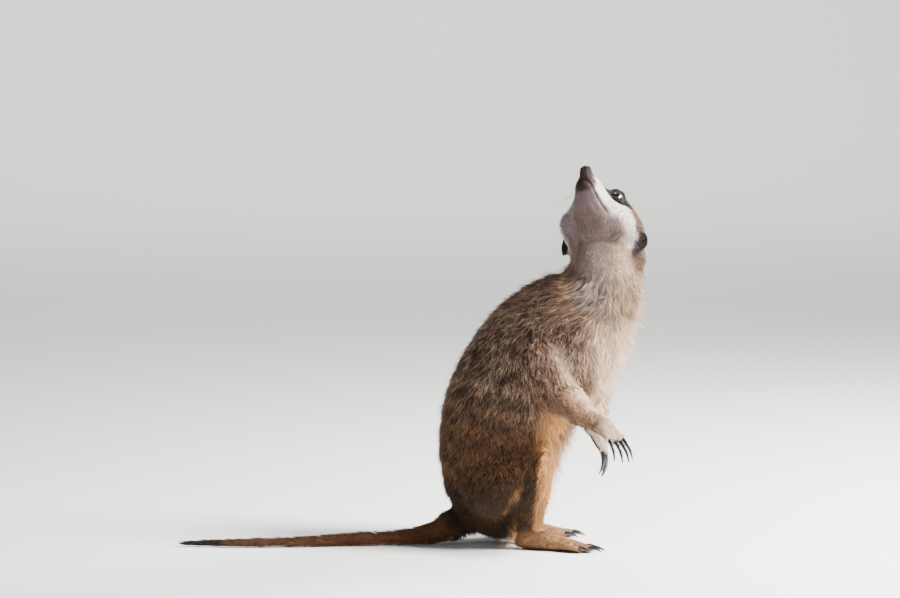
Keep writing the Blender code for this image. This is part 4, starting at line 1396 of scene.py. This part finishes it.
def store_coat(mesh, points, rows, nearest, eyes, sheet):
    """Stores on each vertex of the skin all that the coat is grown from."""
    smoother = Smoother(len(points), rows)
    owner, parts = part_shares(points, smoother, nearest, LAST_SEAM_ROUNDS)
    outward = unit(smoother.smooth(vertex_normals(points, rows), 4))
    places = Places(points, outward, parts)
    markings(mesh, places, owner, sheet.skin, sheet.colours, eyes)
    a, b, _ = places.head
    sizes = np.stack([coat_depth(points, parts, sheet), sheet_values(parts, sheet, "length"),
                      sheet_values(parts, sheet, "width")], 1)
    on_face = share_in(parts, "head") * ramp(14.0, 40.0, a)
    sizes[:, 1] *= 1.0 - 0.55 * on_face
    sizes[:, 2] *= 1.0 - 0.25 * on_face
    sizes *= 1.0 - get_values(mesh, "throat")[:, None] * np.array([0.62, -0.15, 0.25])
    on_head = share_in(parts, "head", "lower_jaw", "ear", "nose") > 0.5
    flow = lie_of_coat(points, outward, owner, smoother)
    for name, values in (("outward", outward), ("flow", flow),
                         ("part", parts.argmax(1)), ("front", places.front),
                         ("leftward", np.where(on_head, b, TORSO.leftward(points))),
                         ("coat_sizes", sizes), ("frizz", sheet_values(parts, sheet, "frizz")),
                         ("stand", sheet_values(parts, sheet, "stand"))):
        put_values(mesh, name, values)


# ================================================================ operators
def the_sheet(context):
    """The sheet of sizes and colours, with the coat's rows filled in."""
    sheet = context.scene.meerkat
    if len(sheet.patches) != len(PARTS):
        sheet.patches.clear()
        for name, (depth, length, width, density, frizz, stand) in COAT_SHEET.items():
            row = sheet.patches.add()
            row.name = name
            row.depth, row.length, row.width = depth * MM, length * MM, width * MM
            row.density, row.frizz, row.stand = density, frizz, stand * MM
    return sheet


class MEERKAT_OT_skin(bpy.types.Operator):
    """Joins the flesh into one skin, sinks it by the coat's depth and shapes the face"""
    bl_idname = "meerkat.skin"
    bl_label = "Skin"

    def execute(self, context):
        sheet = the_sheet(context)
        thing = nodes_object(SKIN, FLESH + EYES, sheet.skin.swell)
        modified(thing, "REMESH", mode="VOXEL", voxel_size=sheet.skin.grain)
        nearest = NearestNode()
        sink_skin(thing, nearest, sheet)
        points, rows, eyes = shape_face(thing, sheet.skin)
        store_coat(thing.data, points, rows, nearest, eyes, sheet)
        put_values(thing.data, "pattern", pattern_map(thing))
        smooth_shaded(thing.data, skin_material())
        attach(thing, "root")
        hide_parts(*FLESH)
        return {"FINISHED"}


class MEERKAT_OT_eyes(bpy.types.Operator):
    """Makes the two wet eyes, with iris, pupil and a domed front"""
    bl_idname = "meerkat.eyes"
    bl_label = "Eyes"
    FIT = 0.985                                 # of the solid eye's radius
    DOME, DOME_WIDTH = 0.035, 0.62              # share of the radius, and radians from the middle
    PUPIL, IRIS = (0.30, 0.38), (0.66, 0.80)    # where each fades out, in radians

    def execute(self, context):
        iris = np.array(the_sheet(context).colours.iris)
        skin = bpy.data.objects[SKIN].data
        points, normals = positions(skin), get_values(skin, "outward")
        material = eye_material()
        for name in EYES:
            eye = EyeFrame(name, points, normals)
            piece = self.ball(name + "_wet", eye)
            away = unit(positions(piece.data) - eye.centre)
            spots = np.arccos(np.clip(away @ eye.out, -1.0, 1.0))
            tint = np.tile(iris * 0.12, (len(spots), 1))
            tint = blend(tint, iris, ramp(*self.PUPIL, spots))
            tint = blend(tint, iris * 0.25, ramp(*self.IRIS, spots))
            put_values(piece.data, "eye_colour", with_alpha(tint))
            piece.data.materials.append(material)
            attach(piece, "root")
            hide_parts(name)
        return {"FINISHED"}

    def ball(self, name, eye, steps=48, rings=32):
        """A ball that domes a little at the front."""
        rows = []
        for ring in range(rings + 1):
            angle = math.pi * ring / rings
            bulge = 1.0 + self.DOME * math.exp(-(angle / self.DOME_WIDTH) ** 4)
            for step in range(steps):
                around = 2.0 * math.pi * step / steps
                x, y = math.sin(angle) * math.cos(around), math.sin(angle) * math.sin(around)
                rows.append(eye.centre + self.FIT * eye.radius * (
                    eye.along * x + eye.up * y + eye.out * (math.cos(angle) * bulge)))
        hand = 1 if np.dot(np.cross(eye.along, eye.up), eye.out) > 0 else -1
        faces = [(a, d, c, b)[::hand] for a, b, c, d in ring_faces(rings + 1, steps)]
        piece = mesh_object(name, rows, np.concatenate(faces), np.full(len(faces), 4))
        with edited(piece.data) as bm:
            bmesh.ops.remove_doubles(bm, verts=bm.verts, dist=1e-7)
        return piece


class MEERKAT_OT_claws(bpy.types.Operator):
    """Makes smooth horn claws on the hands and feet"""
    bl_idname = "meerkat.claws"
    bl_label = "Claws"
    SWELL, MARGIN = 0.00012, 0.0004     # growth over the solid claw, and room round its box

    def execute(self, context):
        material = claw_material(the_sheet(context).colours)
        for name, nodes, paw in (("fore_claws", FORE_CLAWS, "hand"),
                                 ("hind_claws", HIND_CLAWS, "foot")):
            piece = nodes_object(name, nodes, self.SWELL)
            modified(piece, "SUBSURF", levels=2, render_levels=2)
            points = positions(piece.data)
            wear = np.zeros(len(points))
            for node in nodes:
                low, high = (np.array(v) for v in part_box(node))
                inside = np.all((points > low - self.MARGIN) & (points < high + self.MARGIN), 1)
                far = np.linalg.norm(points - middle(f"{paw}_{node[-2]}"), axis=1)
                near, tip = far[inside].min(), far[inside].max()
                wear[inside] = ramp(0.55, 1.0, (far[inside] - near) / (tip - near))
            put_values(piece.data, "wear", wear)
            smooth_shaded(piece.data, material)
            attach(piece, "root")
            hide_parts(*nodes)
        return {"FINISHED"}


class MEERKAT_OT_body_coat(bpy.types.Operator):
    """Grows the long coat of the back, chest, neck and thighs"""
    bl_idname = "meerkat.body_coat"
    bl_label = "Body coat"

    def execute(self, context):
        for name in ("coat_back_L", "coat_back_R", "coat_hip_L", "coat_hip_R", "coat_chest",
                     "coat_neck", "coat_legs"):
            coat_piece(name, the_sheet(context))
        return {"FINISHED"}


class MEERKAT_OT_head_coat(bpy.types.Operator):
    """Grows the short coat of the head and ears"""
    bl_idname = "meerkat.head_coat"
    bl_label = "Head coat"

    def execute(self, context):
        for name in ("coat_head_L", "coat_head_R"):
            coat_piece(name, the_sheet(context))
        return {"FINISHED"}


class MEERKAT_OT_limb_coat(bpy.types.Operator):
    """Grows the short coat of the arms, hands, shanks and feet"""
    bl_idname = "meerkat.limb_coat"
    bl_label = "Limb coat"

    def execute(self, context):
        for name in ("coat_arms", "coat_feet"):
            coat_piece(name, the_sheet(context))
        return {"FINISHED"}


class MEERKAT_OT_tail_coat(bpy.types.Operator):
    """Grows the sleek coat of the tail"""
    bl_idname = "meerkat.tail_coat"
    bl_label = "Tail coat"

    def execute(self, context):
        coat_piece("coat_tail", the_sheet(context))
        return {"FINISHED"}


class MEERKAT_OT_whiskers(bpy.types.Operator):
    """Makes the thin whiskers of the lips, cheeks and brows"""
    bl_idname = "meerkat.whiskers"
    bl_label = "Whiskers"
    # where each whisker stands on the left of the head, in its axes, and its length in millimetres
    BEDS = ((43.0, 8.0, -3.0, 15.0), (40.0, 9.0, -5.0, 17.0), (45.5, 7.5, -1.5, 12.0),
            (38.0, 10.0, -2.5, 16.0), (31.0, 13.0, 14.5, 12.0), (16.0, 25.0, -7.0, 15.0),
            (13.0, 25.5, -9.0, 17.0))
    SIDES, RINGS, RADIUS, SUNK = 5, 8, 0.00010, 0.0004

    def execute(self, context):
        skin = bpy.data.objects[SKIN].data
        tree = surface_tree(positions(skin), triangles(skin))
        rng = np.random.default_rng(7)
        vertices, shades, starts = [], [], []
        for sign in (1.0, -1.0):
            for a, b, c, length in self.BEDS:
                found = tree.find_nearest(HEAD.place(a, sign * b, c))
                at, normal = np.array(found[0]), np.array(found[1])
                back, rise = rng.uniform(0.35, 0.8), rng.uniform(-0.1, 0.3)
                way = unit(normal * 0.9 - HEAD.forward * back - HEAD.crown * rise)
                bend = -HEAD.forward * 0.4 + HEAD.crown * rng.uniform(-0.3, 0.1)
                long = length * MM * rng.uniform(0.85, 1.15)
                starts.append(len(vertices))
                for ring in range(self.RINGS):
                    t = ring / self.RINGS
                    centre = at + (way * t + bend * 0.45 * t * t) * long - normal * self.SUNK
                    ahead = unit(way + bend * 0.9 * t)
                    one = unit(np.cross(ahead, HEAD.crown + 0.01))
                    two = np.cross(ahead, one)
                    thick = self.RADIUS * (1.0 - 0.75 * t)
                    for k in range(self.SIDES):
                        turned = 2.0 * math.pi * k / self.SIDES
                        around = one * math.cos(turned) + two * math.sin(turned)
                        vertices.append(centre + around * thick)
                        shades.append(0.03 + 0.25 * t)
                vertices.append(at + (way + bend * 0.45) * long)
                shades.append(0.3)
        corners, sizes = spike_faces(self.RINGS, self.SIDES)
        all_corners = (np.array(starts)[:, None] + corners[None]).ravel()
        piece = mesh_object("whiskers", vertices, all_corners, np.tile(sizes, len(starts)))
        tint = np.array(shades)[:, None] * np.array([[1.0, 0.93, 0.86]])
        put_values(piece.data, "coat_colour", with_alpha(tint))
        piece.data.materials.append(whisker_material())
        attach(piece, "root")
        return {"FINISHED"}


class MEERKAT_OT_stage(bpy.types.Operator):
    """Sets the camera, the pale floor and the soft lights"""
    bl_idname = "meerkat.stage"
    bl_label = "Stage"
    PACE = 1.3          # metres

    def execute(self, context):
        stage = the_sheet(context).stage
        low, high = (np.array(v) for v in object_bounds())
        centre = (low + high) / 2.0
        near = np.array([math.sin(stage.azimuth), -math.cos(stage.azimuth), 0.0])
        right = np.array([math.cos(stage.azimuth), math.sin(stage.azimuth), 0.0])
        rise, level = math.sin(stage.elevation), math.cos(stage.elevation)
        self.camera(context, stage, near * level + UP * rise)
        self.floor(stage)
        # each lamp: what it shines at, the way back to it and how many paces, its power and width
        for name, at, way, away, watts, size in (
                ("key_light", centre, right + near * 0.32 + UP * 0.85, 0.9, stage.key, 0.4),
                ("fill_light", centre, near * 0.9 - right * 1.1 + UP * 0.7, 1.2, stage.fill, 1.1),
                ("wall_light", near * -4.0 + UP * 0.9, near * 0.6 + UP, 1.6, stage.wall, 1.2),
                ("back_light", centre, right * 0.9 - near * 0.55 + UP * 0.65, 0.9, stage.rim, 0.4),
        ):
            lamp = bpy.data.lights.new(name, "AREA")
            lamp.shape, lamp.energy, lamp.size = "DISK", watts, size
            offset = Vector(way).normalized() * away * self.PACE
            holder = placed(name, lamp)
            holder.location = Vector(at) + offset
            holder.rotation_euler = (-offset).to_track_quat("-Z", "Y").to_euler()
        world = bpy.data.worlds.new("studio")
        world.use_nodes = True
        sky = world.node_tree.nodes["Background"]
        sky.inputs["Color"].default_value = (0.93, 0.96, 1.0, 1.0)
        sky.inputs["Strength"].default_value = stage.sky
        context.scene.world = world
        return {"FINISHED"}

    @staticmethod
    def camera(context, stage, back):
        """The camera, aimed at the model from some way back."""
        camera = bpy.data.cameras.new("camera")
        camera.lens, camera.sensor_width = stage.lens, 36.0
        camera.clip_start, camera.clip_end = 0.05, 50.0
        holder = placed("camera", camera)
        holder.location = np.array(stage.aim) + back * stage.away
        holder.rotation_euler = Vector(-back).to_track_quat("-Z", "Y").to_euler()
        context.scene.camera = holder

    @staticmethod
    def floor(stage, cove=0.6, steps=96, bend=12, top=1.4):
        """A round floor that curves up into a low wall all round the model."""
        profile = [(stage.room - cove - 0.3, 0.0)]
        for step in range(bend + 1):
            angle = math.pi / 2.0 * step / bend
            out, down = cove * math.sin(angle), cove * math.cos(angle)
            profile.append((stage.room - cove + out, cove - down))
        profile.append((stage.room, top))
        around = np.linspace(0.0, 2.0 * math.pi, steps, endpoint=False)
        points = [(r * math.cos(t), r * math.sin(t), z) for r, z in profile for t in around]
        faces = [(a, d, c, b) for a, b, c, d in ring_faces(len(profile), steps)] + [range(steps)]
        piece = mesh_object("floor", points, np.concatenate(faces), [len(face) for face in faces])
        piece.data.materials.append(floor_material(stage.floor))
        piece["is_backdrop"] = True


class MEERKAT_PT_sheet(bpy.types.Panel):
    """Lists the model's steps, sizes and colours"""
    bl_label = "Meerkat"
    bl_idname = "MEERKAT_PT_sheet"
    bl_space_type = "VIEW_3D"
    bl_region_type = "UI"
    bl_category = "Meerkat"

    def draw(self, context):
        sheet = context.scene.meerkat
        for operator in OPERATORS:
            self.layout.operator(operator.bl_idname)
        for title, group in (("Skin", sheet.skin), ("Colours", sheet.colours),
                             ("Stage", sheet.stage)):
            box = self.layout.box()
            box.label(text=title)
            for key in type(group).__annotations__:
                box.prop(group, key)
        for patch in sheet.patches:
            box = self.layout.box()
            box.label(text=patch.name)
            for key in CoatPatch.__annotations__:
                box.prop(patch, key)


OPERATORS = (MEERKAT_OT_skin, MEERKAT_OT_eyes, MEERKAT_OT_claws, MEERKAT_OT_body_coat,
             MEERKAT_OT_head_coat, MEERKAT_OT_limb_coat, MEERKAT_OT_tail_coat, MEERKAT_OT_whiskers,
             MEERKAT_OT_stage)
CLASSES = (CoatPatch, SkinSettings, CoatColours, StageSettings, MeerkatSheet, *OPERATORS,
           MEERKAT_PT_sheet)


def register():
    """Adds the sheet, the operators and the panel."""
    for item in CLASSES:
        bpy.utils.register_class(item)
    bpy.types.Scene.meerkat = PointerProperty(type=MeerkatSheet)


def unregister():
    """Takes them away again."""
    del bpy.types.Scene.meerkat
    for item in reversed(CLASSES):
        bpy.utils.unregister_class(item)


def main():
    """Makes every piece in order."""
    register()
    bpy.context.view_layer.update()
    bpy.ops.meerkat.skin()
    bpy.ops.meerkat.eyes()
    bpy.ops.meerkat.claws()
    bpy.ops.meerkat.body_coat()
    bpy.ops.meerkat.head_coat()
    bpy.ops.meerkat.limb_coat()
    bpy.ops.meerkat.tail_coat()
    bpy.ops.meerkat.whiskers()
    bpy.ops.meerkat.stage()


if __name__ == "__main__":
    main()
